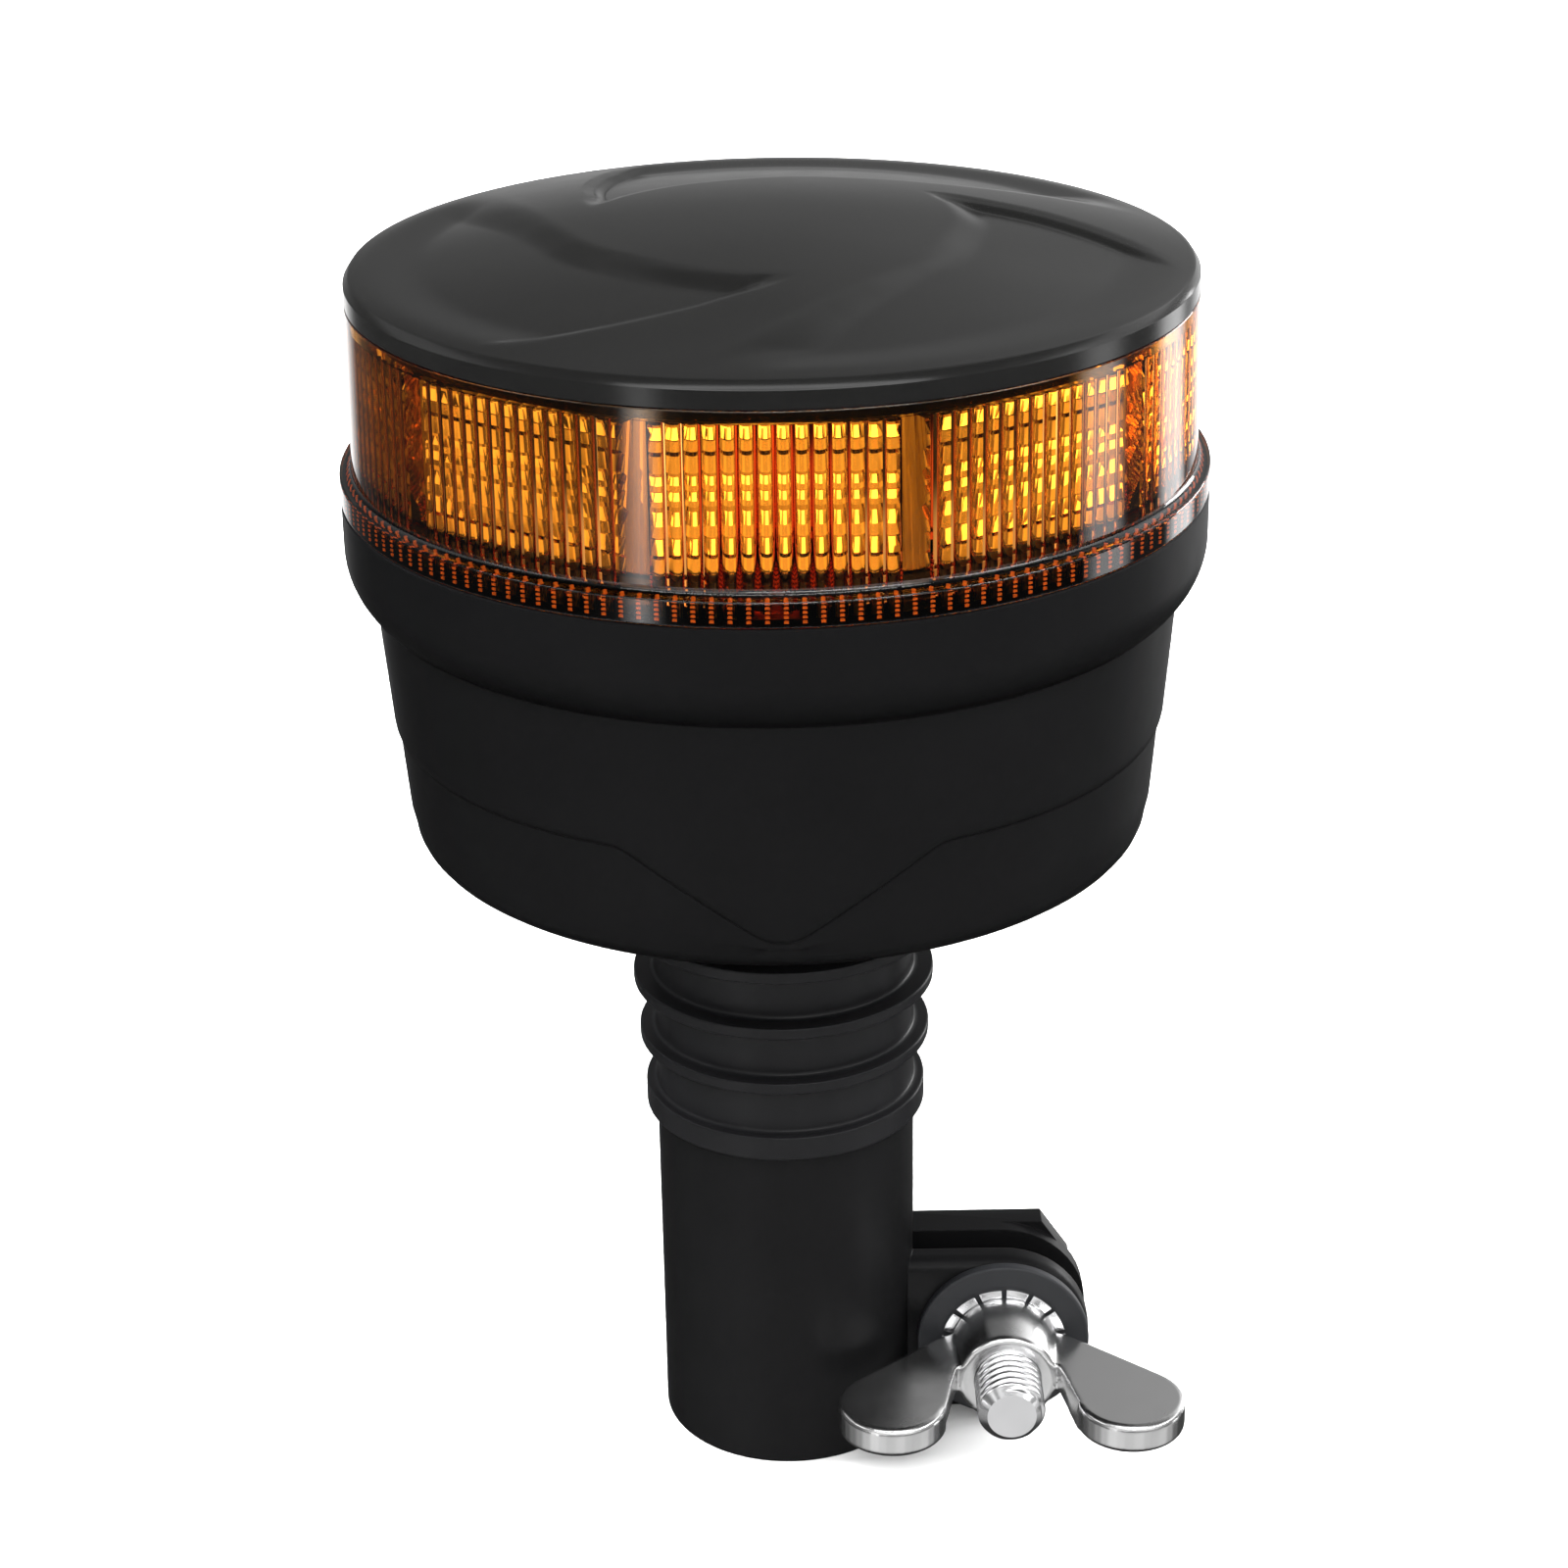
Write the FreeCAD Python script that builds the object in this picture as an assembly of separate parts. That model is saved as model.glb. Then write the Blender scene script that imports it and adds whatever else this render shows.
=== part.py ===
import FreeCAD, Part
import math
import os

# LED beacon on a flexible neck with a clamp sleeve for a round pole.
# Millimetres, +Z up. The origin is the centre of the sleeve's open lower end.
# The clamp bolt points to the front, along -Y, and the clamp ears lie at +X.

V = FreeCAD.Vector

# Clamp sleeve
POLE_R = 12.5
POLE_CLEARANCE = 0.1
POLE_DEPTH = 40.0
SLEEVE_WALL = 6.4
SOCKET_ROOF_T = 4.8
RELIEF_W = 1.0
RELIEF_DEPTH = 0.5
SPIGOT_STEP = 4.0
SPIGOT_LEN = 13.0
SLIT_W = 5.2
SLIT_ABOVE_EAR = 4.0

# Clamp ears and their bolt
EAR_R = 13.2
EAR_LIFT = 0.4
FRONT_EAR_T = 3.8
REAR_EAR_T = 4.4
HEAD_BOSS_T = 2.2
HEAD_BOSS_FLAT = 6.6
HEAD_BOSS_SIDE = 10.9
HEAD_BOSS_DROP = 6.8
EAR_EDGE_ROUND = 2.0
BOLT_R = 5.0
BOLT_LEN = 35.0
BOLT_TIP_CHAMFER = 1.4
HEX_AF = 17.0
HEX_HEAD_H = 6.4
HEX_CLEARANCE = 0.25
BOLT_HOLE_CLEARANCE = 0.5

# Washers and wing nut
WASHER_R = 13.0
WASHER_GAP = 0.3
WASHER_T = 1.7
LOCK_R = 9.5
LOCK_T = 0.9
LOCK_TEETH = 14
LOCK_NOTCH_W = 0.8
LOCK_NOTCH_DEPTH = 1.7
NUT_CLEARANCE = 0.05
HUB_R = 8.2
HUB_FRONT_R = 7.3
HUB_LEN = 9.7
WING_T = 4.7
WING_LOBE_R = 8.0
WING_LOBE_OUT = 17.4
WING_LOBE_FORWARD = 17.7
WING_ROOT_BACK = 0.3
WING_ROOT_BACK_OUT = 1.0
WING_ROOT_FRONT = 9.2
WING_ROOT_FRONT_OUT = 0.3

# Pole contacts
BLOCK_T = 4.0
BLOCK_STEM_R = 9.0
BLOCK_STEM_INSET = 2.8
BLOCK_CLEARANCE = 0.1
EARTH_T = 0.8
EARTH_GAP = 2.2
EARTH_INNER_R = 9.6
PIN_R = 3.0
PIN_HEAD_R = 4.3
PIN_HEAD_T = 2.0
PIN_REACH = 3.2
PIN_CLEARANCE = 0.05
PIN_TIP_ROUND = 1.2
SPRING_LEN = 8.0
SPRING_WIRE = 0.8
SPRING_R = 3.5
SPRING_TURNS = 4
SPRING_SIDES = 10
SPRING_CAVITY_R = 4.6
LEAD_R = 1.1
LEAD_SPREAD = 6.2

# Flexible neck
COLLAR_STEP = 1.55
COLLAR_H = 3.7
FIN_COUNT = 3
FIN_PITCH = 9.13
FIN_T = 1.8
FIN_GROWTH = 0.68
NECK_HEAD_LEN = 14.6
NECK_SHOULDER_STEP = 4.4
NECK_SHOULDER_T = 2.6
NECK_WAIST_STEP = 2.0
NECK_WALL = 6.0
NECK_FLANGE_STEP = 2.5
NECK_FLANGE_T = 4.0
NECK_CLEARANCE = 0.3

# Neck retainer
RETAINER_EDGE = 2.6
RETAINER_T = 1.5
RETAINER_SCREWS = 4
RETAINER_SCREW_R = 1.2
RETAINER_BOSS_R = 2.4
RETAINER_BOSS_GAP = 0.4
RETAINER_SCREW_LEN = 8.0

# Base housing
RIM_R = 59.4
RIM_BAND = 7.0
RIM_ROUND = 9.5
RIM_LEDGE = 5.4
BASE_INSET = 6.9
BASE_DRAFT = 0.084
BASE_H = 51.0
BASE_WALL = 2.5
FLOOR_T = 2.8
BASE_CORNER = 4.0
SKIN_STEP = 0.5
SKIN_STEP_H = 17.5
TONGUES = 3
TONGUE_DROP = 12.7
TONGUE_HALF_W = 18.6
TONGUE_TIP_R = 6.0

# Lens screws and their towers
LENS_SCREWS = 3
TOWER_WALL_GAP = 0.2
TOWER_R = 4.3
TOWER_DROP = 8.0
SCREW_R = 1.75
SCREW_HEAD_R = 3.2
SCREW_HEAD_T = 2.4
SCREW_GRIP = 9.0
SCREW_BITE = 7.0
SCREW_CLEARANCE = 0.15

# Driver board and what it carries
POSTS = 3
POST_R = 3.0
BOARD_GAP = 1.2
BOARD_T = 1.6
STUD_R = 1.5
STUD_LEN = 9.0
STUD_CLEARANCE = 0.1
STANDOFF_AF = 6.0
STANDOFF_LEN = 20.4
CAPACITOR_R = 5.0
CAPACITOR_H = 14.0
CAPACITOR_RING_R = 20.0
CHOKE_R = 8.0
CHOKE_HOLE_R = 3.5
CHOKE_H = 7.0
CHOKE_RING_R = 18.0
CHIP_W = 6.0
CHIP_T = 1.6
CHIP_RING_R = 26.0
TERMINAL_W = 18.0
TERMINAL_DEPTH = 8.0
TERMINAL_H = 8.0

# Heat sink and light ring
PANELS = 10
SINK_DROP = 5.0
SINK_FLOOR_T = 3.0
SINK_SKIRT_WALL = 2.5
SINK_LUG_GAP = 1.0
SINK_SCREW_HEAD_R = 2.7
SINK_SCREW_GAP = 0.3
LED_BOARD_T = 1.2
LED_BOARD_SIDE_GAP = 3.3
LED_BOARD_END_GAP = 0.8
EMITTERS = 3
EMITTER_W = 3.4
EMITTER_T = 0.8
EMITTER_WINDOW_W = 2.4
EMITTER_SIDE_GAP = 1.5
OPTIC_DEPTH = 8.6
OPTIC_SIDE_GAP = 3.4
OPTIC_T = 2.4
OPTIC_RIBS = 9
OPTIC_RIB_H = 0.8
OPTIC_LEG_T = 1.2
OPTIC_END_GAP = 1.0
OPTIC_CLEARANCE = 0.5

# Lens
LENS_FOOT_INSET = 1.75
LENS_TAPER = 0.35
LENS_H = 23.5
LENS_WALL = 2.2
FLANGE_T = 3.5
FLUTES_PER_PANEL = 14
FLUTE_DEPTH = 0.6
FLUTE_DEG = 2.25
LUG_W = 9.0
SEAL_W = 2.0
SEAL_H = 1.8

# Top cap
CAP_INSET = 0.05
CAP_SIDE_H = 2.5
CAP_CHAMFER_W = 0.8
CAP_CHAMFER_H = 1.05
DOME_RISE = 5.9
CAP_WALL = 2.2
SKIRT_T = 2.2
SKIRT_H = 2.1
SKIRT_CLEARANCE = 0.1
SWIRL_ARMS = 3
SWIRL_DEPTH = 0.8
SWIRL_TIP_R = 26.0
SWIRL_EYE_R = 23.4
SWIRL_HEEL_R = 28.0
SWIRL_LEAD_BULGE = 1.5
SWIRL_TRAIL_SAG = 3.0
SWIRL_TIP_DEG = 9.0
SWIRL_EYE_DEG = 52.0
SWIRL_HEEL_DEG = 97.0
SWIRL_LEAD_MID_DEG = 32.0
SWIRL_LEAD_END_DEG = 53.0
SWIRL_TRAIL_MID_DEG = 126.0
SWIRL_TRAIL_END_DEG = 147.0

# Heights and places that follow from the driving dimensions
BORE_R = POLE_R + POLE_CLEARANCE
SLEEVE_R = BORE_R + SLEEVE_WALL
SPIGOT_R = SLEEVE_R - SPIGOT_STEP
BOLT_X = SLEEVE_R + WASHER_GAP + WASHER_R
BOLT_Z = EAR_R + EAR_LIFT
EAR_TOP = BOLT_Z + EAR_R
EAR_FRONT = -SLIT_W / 2 - FRONT_EAR_T
EAR_REAR = SLIT_W / 2 + REAR_EAR_T
WASHER_FRONT = EAR_FRONT - WASHER_T
LOCK_FRONT = WASHER_FRONT - LOCK_T
Z_EARTH = POLE_DEPTH + RELIEF_W + EARTH_GAP
Z_BLOCK = Z_EARTH + EARTH_T
SOCKET_DEPTH = Z_BLOCK + BLOCK_T
Z_SPRING = SOCKET_DEPTH + PIN_HEAD_T
SLEEVE_LEN = SOCKET_DEPTH + SOCKET_ROOF_T
Z_SPIGOT = SLEEVE_LEN + SPIGOT_LEN
Z_STEM = Z_SPIGOT - BLOCK_STEM_INSET
NECK_CORE_R = SLEEVE_R
COLLAR_R = NECK_CORE_R + COLLAR_STEP
NECK_SHOULDER_R = NECK_CORE_R + NECK_SHOULDER_STEP
NECK_WAIST_R = NECK_CORE_R - NECK_WAIST_STEP
NECK_BORE_R = NECK_WAIST_R - NECK_WALL
NECK_FLANGE_R = NECK_WAIST_R + NECK_FLANGE_STEP
Z_FIN = SLEEVE_LEN + COLLAR_H
Z_BASE = Z_FIN + FIN_COUNT * FIN_PITCH + NECK_HEAD_LEN
Z_FLOOR = Z_BASE + FLOOR_T
Z_RETAINER = Z_FLOOR + NECK_FLANGE_T
Z_STEP = Z_BASE + SKIN_STEP_H
Z_RIM = Z_BASE + BASE_H
Z_LENS = Z_RIM + FLANGE_T
Z_CAP = Z_LENS + LENS_H
Z_SINK = Z_LENS - SINK_DROP
Z_BOARD_TOP = Z_SINK - STANDOFF_LEN
Z_BOARD = Z_BOARD_TOP - BOARD_T
Z_TOWER = Z_RIM - TOWER_DROP
BASE_R = RIM_R - BASE_INSET
LENS_FOOT_R = RIM_R - LENS_FOOT_INSET
LENS_TOP_R = LENS_FOOT_R - LENS_TAPER
CAP_R = LENS_TOP_R - CAP_INSET
LENS_BORE_R = LENS_TOP_R - LENS_WALL
SKIRT_R = LENS_BORE_R - SKIRT_CLEARANCE
FLUTE_R = LENS_BORE_R - FLUTE_DEPTH
PANEL_DEG = 360 / PANELS
OPTIC_CORNER_R = FLUTE_R - OPTIC_CLEARANCE
OPTIC_W = 2 * OPTIC_CORNER_R * math.sin(math.radians(PANEL_DEG / 2)) - OPTIC_SIDE_GAP
OPTIC_FACE = math.sqrt(OPTIC_CORNER_R ** 2 - (OPTIC_W / 2) ** 2)
LED_FACE = OPTIC_FACE - OPTIC_DEPTH
SINK_FACE = LED_FACE - LED_BOARD_T
LED_BOARD_W = 2 * SINK_FACE * math.tan(math.radians(PANEL_DEG / 2)) - LED_BOARD_SIDE_GAP
EMITTER_SPAN = LED_BOARD_W - 2 * (OPTIC_LEG_T + EMITTER_SIDE_GAP) - EMITTER_W
OPTIC_Z = Z_LENS + OPTIC_END_GAP
OPTIC_H = LENS_H - SKIRT_H - 2 * OPTIC_END_GAP
TERMINAL_Z = Z_BOARD - TERMINAL_H
RETAINER_RING_R = NECK_FLANGE_R + RETAINER_BOSS_GAP + RETAINER_BOSS_R
RETAINER_R = RETAINER_RING_R + RETAINER_EDGE
TOWER_RING_R = BASE_R - BASE_WALL - TOWER_WALL_GAP - TOWER_R
BOARD_R = TOWER_RING_R - TOWER_R - BOARD_GAP
SINK_SKIRT_R = TOWER_RING_R - LUG_W / 2 - SINK_LUG_GAP
SINK_HOLLOW_R = SINK_SKIRT_R - SINK_SKIRT_WALL
POST_RING_R = SINK_HOLLOW_R - SINK_SCREW_GAP - SINK_SCREW_HEAD_R
SEAL_RING_R = RIM_R - RIM_LEDGE / 2


def front_polar(radius, degrees, z=0.0):
    """Point at an angle measured from the front (-Y) towards +X."""
    angle = math.radians(degrees)
    return V(radius * math.sin(angle), -radius * math.cos(angle), z)


def spun(shape, degrees):
    """Copy of a shape turned about the beacon's axis, positive towards +X from the front."""
    copy = shape.copy()
    copy.rotate(V(0, 0, 0), V(0, 0, 1), degrees)
    return copy


def pattern(shape, count):
    """The shape repeated evenly around the beacon's axis."""
    return [spun(shape, index * 360 / count) for index in range(count)]


def rod(radius, z0, z1, at=V(0, 0, 0)):
    """Upright cylinder between two heights."""
    return Part.makeCylinder(radius, z1 - z0, V(at.x, at.y, z0))


def bolt_rod(radius, y0, y1):
    """Cylinder on the clamp bolt's axis, from y0 forward to y1."""
    return Part.makeCylinder(radius, y0 - y1, V(BOLT_X, y0, BOLT_Z), V(0, -1, 0))


def box(x0, x1, y0, y1, z0, z1):
    """Box between opposite corners."""
    return Part.makeBox(x1 - x0, y1 - y0, z1 - z0, V(x0, y0, z0))


def outline(place, start, *moves):
    """Closed face from lines to a point, or arcs given as a pair of mid and end points."""
    edges = []
    here = start
    for move in moves + (start,):
        if isinstance(move[0], tuple):
            middle, end = move
            edges.append(Part.Arc(place(*here), place(*middle), place(*end)).toShape())
        else:
            end = move
            if place(*here).distanceToPoint(place(*end)) > 1e-6:
                edges.append(Part.LineSegment(place(*here), place(*end)).toShape())
        here = end
    return Part.Face(Part.Wire(edges))


def side_place(x, z):
    """Place in the XZ plane."""
    return V(x, 0, z)


def turned(start, *moves):
    """Solid of revolution about the beacon's axis from an outline of radius and height."""
    return outline(side_place, start, *moves).revolve(V(0, 0, 0), V(0, 0, 1), 360)


def hexagon(across_flats, height, base, normal, turn=0.0):
    """Hexagonal prism on a base point along a normal."""
    radius = across_flats / math.sqrt(3)
    points = []
    for index in range(7):
        angle = math.radians(60 * index + turn)
        points.append(V(radius * math.cos(angle), radius * math.sin(angle), 0))
    prism = Part.Face(Part.makePolygon(points)).extrude(V(0, 0, height))
    prism.Placement = FreeCAD.Placement(base, FreeCAD.Rotation(V(0, 0, 1), normal))
    return prism


def tangent_point(point, centre, radius, side):
    """Point where a line from an outside point touches a circle, on the side given as 1 or -1."""
    dx = centre[0] - point[0]
    dy = centre[1] - point[1]
    reach = math.hypot(dx, dy)
    angle = math.atan2(dy, dx) + side * math.asin(radius / reach)
    length = math.sqrt(reach ** 2 - radius ** 2)
    return (point[0] + length * math.cos(angle), point[1] + length * math.sin(angle))


def save(name, shapes):
    """Write one node, a single solid or a group of separate solids."""
    group = shapes if isinstance(shapes, list) else [shapes]
    solids = [solid for shape in group for solid in shape.Solids]
    Part.makeCompound(solids).exportStep("parts/" + name + ".step")


def slit():
    """Gap between the ears, with a round end in the tube above them."""
    ear_end = BOLT_X + 2 * EAR_R
    slit_top = EAR_TOP + SLIT_ABOVE_EAR
    gap = box(0, ear_end, -SLIT_W / 2, SLIT_W / 2, -1, slit_top)
    return gap.fuse(Part.makeCylinder(SLIT_W / 2, ear_end, V(0, 0, slit_top), V(1, 0, 0)))


def clamp_sleeve():
    """Slit tube with the pole socket and a spigot for the neck."""
    body = rod(SLEEVE_R, 0, SLEEVE_LEN).fuse(rod(SPIGOT_R, 0, Z_SPIGOT))
    socket = rod(BORE_R, -1, SOCKET_DEPTH)
    relief = rod(BORE_R + RELIEF_DEPTH, POLE_DEPTH, POLE_DEPTH + RELIEF_W)
    stem_hole = rod(BLOCK_STEM_R + BLOCK_CLEARANCE, 0, Z_SPIGOT + 1)
    return body.cut([slit(), socket, relief, stem_hole])


def ear_plate(y_front, y_rear):
    """Ear with a flat top and a round end about the bolt, reaching in to the tube's axis."""
    start = (0, BOLT_Z - EAR_R)
    face = outline(side_place, start, (BOLT_X, BOLT_Z - EAR_R),
                   ((BOLT_X + EAR_R, BOLT_Z), (BOLT_X, EAR_TOP)), (0, EAR_TOP))
    plate = face.extrude(V(0, y_rear - y_front, 0))
    plate.translate(V(0, y_front, 0))
    return plate


def ear_cuts():
    """Tube that the ears grow from, and the bolt's clearance hole through both."""
    tube = rod(SLEEVE_R, -1, SLEEVE_LEN)
    return [tube, bolt_rod(BOLT_R + BOLT_HOLE_CLEARANCE, EAR_REAR + HEAD_BOSS_T, EAR_FRONT - 1)]


def front_ear():
    """Front half of the moulded clamp, with its front edge rounded along the outline."""
    plate = ear_plate(EAR_FRONT, -SLIT_W / 2)
    edges = []
    for edge in plate.Edges:
        reach = edge.BoundBox
        if reach.YMax < EAR_FRONT + 1e-4 and reach.XMax > 1e-4:
            edges.append(edge)
    return plate.makeFillet(EAR_EDGE_ROUND, edges).cut(ear_cuts())


def rear_ear():
    """Rear half of the moulded clamp, with a boss and a hexagonal pocket for the bolt's head."""
    boss = outline(side_place, (0, BOLT_Z - EAR_R), (BOLT_X + HEAD_BOSS_FLAT, BOLT_Z - EAR_R),
                   (BOLT_X + HEAD_BOSS_SIDE, BOLT_Z - HEAD_BOSS_DROP),
                   (BOLT_X + HEAD_BOSS_SIDE, BOLT_Z + HEAD_BOSS_DROP),
                   (BOLT_X + HEAD_BOSS_FLAT, EAR_TOP), (0, EAR_TOP))
    boss = boss.extrude(V(0, HEAD_BOSS_T + REAR_EAR_T / 2, 0))
    boss.translate(V(0, SLIT_W / 2 + REAR_EAR_T / 2, 0))
    pocket_at = V(BOLT_X, EAR_REAR, BOLT_Z)
    pocket = hexagon(HEX_AF + 2 * HEX_CLEARANCE, HEAD_BOSS_T + 1, pocket_at, V(0, 1, 0))
    plate = ear_plate(SLIT_W / 2, EAR_REAR).fuse(boss).removeSplitter()
    return plate.cut(ear_cuts() + [pocket])


def clamp_bolt():
    """Hexagon bolt with its head in the rear pocket and a chamfered tip."""
    head = hexagon(HEX_AF, HEX_HEAD_H, V(BOLT_X, EAR_REAR, BOLT_Z), V(0, 1, 0))
    tip = EAR_REAR - BOLT_LEN
    shank = bolt_rod(BOLT_R, EAR_REAR, tip + BOLT_TIP_CHAMFER)
    cone = Part.makeCone(BOLT_R, BOLT_R - BOLT_TIP_CHAMFER, BOLT_TIP_CHAMFER,
                         V(BOLT_X, tip + BOLT_TIP_CHAMFER, BOLT_Z), V(0, -1, 0))
    return head.multiFuse([shank, cone])


def flat_washer():
    """Plain disc between the front ear and the lock washer."""
    disc = bolt_rod(WASHER_R, EAR_FRONT, WASHER_FRONT)
    return disc.cut(bolt_rod(BOLT_R + BOLT_HOLE_CLEARANCE, EAR_FRONT + 1, WASHER_FRONT - 1))


def lock_washer():
    """Washer with teeth cut round its edge."""
    disc = bolt_rod(LOCK_R, WASHER_FRONT, LOCK_FRONT)
    notch = box(LOCK_R - LOCK_NOTCH_DEPTH, LOCK_R + 1, LOCK_FRONT - 1, WASHER_FRONT + 1,
                -LOCK_NOTCH_W / 2, LOCK_NOTCH_W / 2)
    cuts = [bolt_rod(BOLT_R + NUT_CLEARANCE, WASHER_FRONT + 1, LOCK_FRONT - 1)]
    for index in range(LOCK_TEETH):
        turned_notch = notch.copy()
        turned_notch.rotate(V(0, 0, 0), V(0, 1, 0), (index + 0.5) * 360 / LOCK_TEETH)
        turned_notch.translate(V(BOLT_X, 0, BOLT_Z))
        cuts.append(turned_notch)
    return disc.cut(cuts)


def wing(side):
    """One flat wing with a round lobe, flaring forward from the hub."""
    lobe = (WING_LOBE_OUT, WING_LOBE_FORWARD)
    back_root = (HUB_R + WING_ROOT_BACK_OUT, WING_ROOT_BACK)
    front_root = (HUB_FRONT_R + WING_ROOT_FRONT_OUT, WING_ROOT_FRONT)
    back_touch = tangent_point(back_root, lobe, WING_LOBE_R, -1)
    front_touch = tangent_point(front_root, lobe, WING_LOBE_R, 1)
    reach = math.hypot(*lobe)
    tip = (lobe[0] + WING_LOBE_R * lobe[0] / reach, lobe[1] + WING_LOBE_R * lobe[1] / reach)

    def place(out, forward):
        return V(BOLT_X + side * out, LOCK_FRONT - forward, BOLT_Z - WING_T / 2)

    face = outline(place, (0, WING_ROOT_BACK), back_root, back_touch, (tip, front_touch),
                   front_root, (0, WING_ROOT_FRONT))
    return face.extrude(V(0, 0, WING_T))


def wing_nut():
    """Tapered hub with two wings and a bore for the bolt."""
    hub = Part.makeCone(HUB_R, HUB_FRONT_R, HUB_LEN, V(BOLT_X, LOCK_FRONT, BOLT_Z), V(0, -1, 0))
    bore = bolt_rod(BOLT_R + NUT_CLEARANCE, LOCK_FRONT + 1, LOCK_FRONT - HUB_LEN - 1)
    return hub.multiFuse([wing(1), wing(-1)]).cut(bore)


def contact_block():
    """Insulating plug with a flange in the socket and a stem through the spigot."""
    flange = rod(BORE_R - BLOCK_CLEARANCE, Z_BLOCK, SOCKET_DEPTH)
    stem = rod(BLOCK_STEM_R, Z_BLOCK, Z_STEM)
    pin_hole = rod(PIN_R + PIN_CLEARANCE, Z_BLOCK - 1, SOCKET_DEPTH)
    cavity = rod(SPRING_CAVITY_R, SOCKET_DEPTH, Z_SPRING + SPRING_LEN)
    return flange.fuse(stem).cut([pin_hole, cavity])


def earth_contact():
    """Flat brass ring under the block that meets the rim of the pole."""
    ring = rod(BORE_R - BLOCK_CLEARANCE, Z_EARTH, Z_BLOCK)
    return ring.cut(rod(EARTH_INNER_R, Z_EARTH - 1, Z_BLOCK + 1))


def contact_pin():
    """Headed pin with a rounded tip, pushed down by the spring."""
    tip = Z_BLOCK - PIN_REACH
    waist = PIN_TIP_ROUND * (1 - math.sqrt(0.5))
    return turned((0, tip), (PIN_R - PIN_TIP_ROUND, tip),
                  ((PIN_R - waist, tip + waist), (PIN_R, tip + PIN_TIP_ROUND)),
                  (PIN_R, SOCKET_DEPTH), (PIN_HEAD_R, SOCKET_DEPTH), (PIN_HEAD_R, Z_SPRING), (0, Z_SPRING))


def contact_spring():
    """Coil of round turns drawn with straight chords, between the pin's head and the block."""
    rise = SPRING_LEN - SPRING_WIRE
    count = SPRING_TURNS * SPRING_SIDES
    points = []
    for index in range(count + 1):
        angle = 2 * math.pi * index / SPRING_SIDES
        height = Z_SPRING + SPRING_WIRE / 2 + rise * index / count
        points.append(V(SPRING_R * math.cos(angle), SPRING_R * math.sin(angle), height))
    path = Part.makePolygon(points)
    heading = points[1] - points[0]
    section = hexagon(SPRING_WIRE * math.cos(math.radians(30)), 1, points[0], heading).Faces
    ring = min(section, key=lambda face: face.CenterOfMass.distanceToPoint(points[0])).OuterWire
    return path.makePipeShell([ring], True, False, 1)


def supply_leads():
    """Two wires from the contact block through the neck to the terminal."""
    return [rod(LEAD_R, Z_STEM, TERMINAL_Z, V(side * LEAD_SPREAD, 0, 0)) for side in (-1, 1)]


def flexible_neck():
    """Rubber tube with a collar, thin fins that widen upwards and a flange inside the base."""
    bottom = SLEEVE_LEN
    steps = [(COLLAR_R, bottom), (COLLAR_R, Z_FIN), (NECK_CORE_R, Z_FIN)]
    for index in range(FIN_COUNT):
        fin_top = Z_FIN + (index + 1) * FIN_PITCH
        fin_r = COLLAR_R + (index + 1) * FIN_GROWTH
        steps += [(NECK_CORE_R, fin_top - FIN_T), (fin_r, fin_top - FIN_T)]
        steps += [(fin_r, fin_top), (NECK_CORE_R, fin_top)]
    shoulder = Z_BASE - NECK_SHOULDER_T
    steps += [(NECK_CORE_R, shoulder), (NECK_SHOULDER_R, shoulder), (NECK_SHOULDER_R, Z_BASE)]
    steps += [(NECK_WAIST_R, Z_BASE), (NECK_WAIST_R, Z_FLOOR)]
    steps += [(NECK_FLANGE_R, Z_FLOOR), (NECK_FLANGE_R, Z_RETAINER), (NECK_BORE_R, Z_RETAINER)]
    steps += [(NECK_BORE_R, Z_SPIGOT), (SPIGOT_R, Z_SPIGOT)]
    return turned((SPIGOT_R, bottom), *steps)


def retainer_point(index, z=0.0):
    """Centre of one of the retainer's screws."""
    return front_polar(RETAINER_RING_R, (index + 0.5) * 360 / RETAINER_SCREWS, z)


def neck_retainer():
    """Steel plate that holds the neck's flange down on the base floor."""
    cuts = [rod(NECK_BORE_R, Z_RETAINER - 1, Z_RETAINER + RETAINER_T + 1)]
    for index in range(RETAINER_SCREWS):
        hole = RETAINER_SCREW_R + SCREW_CLEARANCE
        cuts.append(rod(hole, Z_RETAINER - 1, Z_RETAINER + RETAINER_T + 1, retainer_point(index)))
    return rod(RETAINER_R, Z_RETAINER, Z_RETAINER + RETAINER_T).cut(cuts)


def retainer_screws():
    """Round-headed screws through the retainer."""
    seat = Z_RETAINER + RETAINER_T
    screws = []
    for index in range(RETAINER_SCREWS):
        at = retainer_point(index)
        head = rod(2 * RETAINER_SCREW_R, seat, seat + RETAINER_SCREW_R, at)
        screws.append(head.fuse(rod(RETAINER_SCREW_R, seat - RETAINER_SCREW_LEN, seat, at)))
    return screws


def base_radius(z):
    """Outside radius of the tapered base wall at a height."""
    return BASE_R + BASE_DRAFT * (z - Z_BASE)


def tongue(z_top):
    """V-shaped prism at the front with a rounded tip, reaching out through the base wall."""
    slope = math.atan2(TONGUE_DROP, TONGUE_HALF_W)
    tip_z = Z_STEP - TONGUE_DROP
    centre_z = tip_z + TONGUE_TIP_R
    touch = (TONGUE_TIP_R * math.sin(slope), centre_z - TONGUE_TIP_R * math.cos(slope))
    half_w = touch[0] + (z_top - touch[1]) / math.tan(slope)

    def place(x, z):
        return V(x, -BASE_R / 2, z)

    face = outline(place, (-half_w, z_top), (-touch[0], touch[1]), ((0, tip_z), touch),
                   (half_w, z_top))
    return face.extrude(V(0, -BASE_R, 0))


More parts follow.
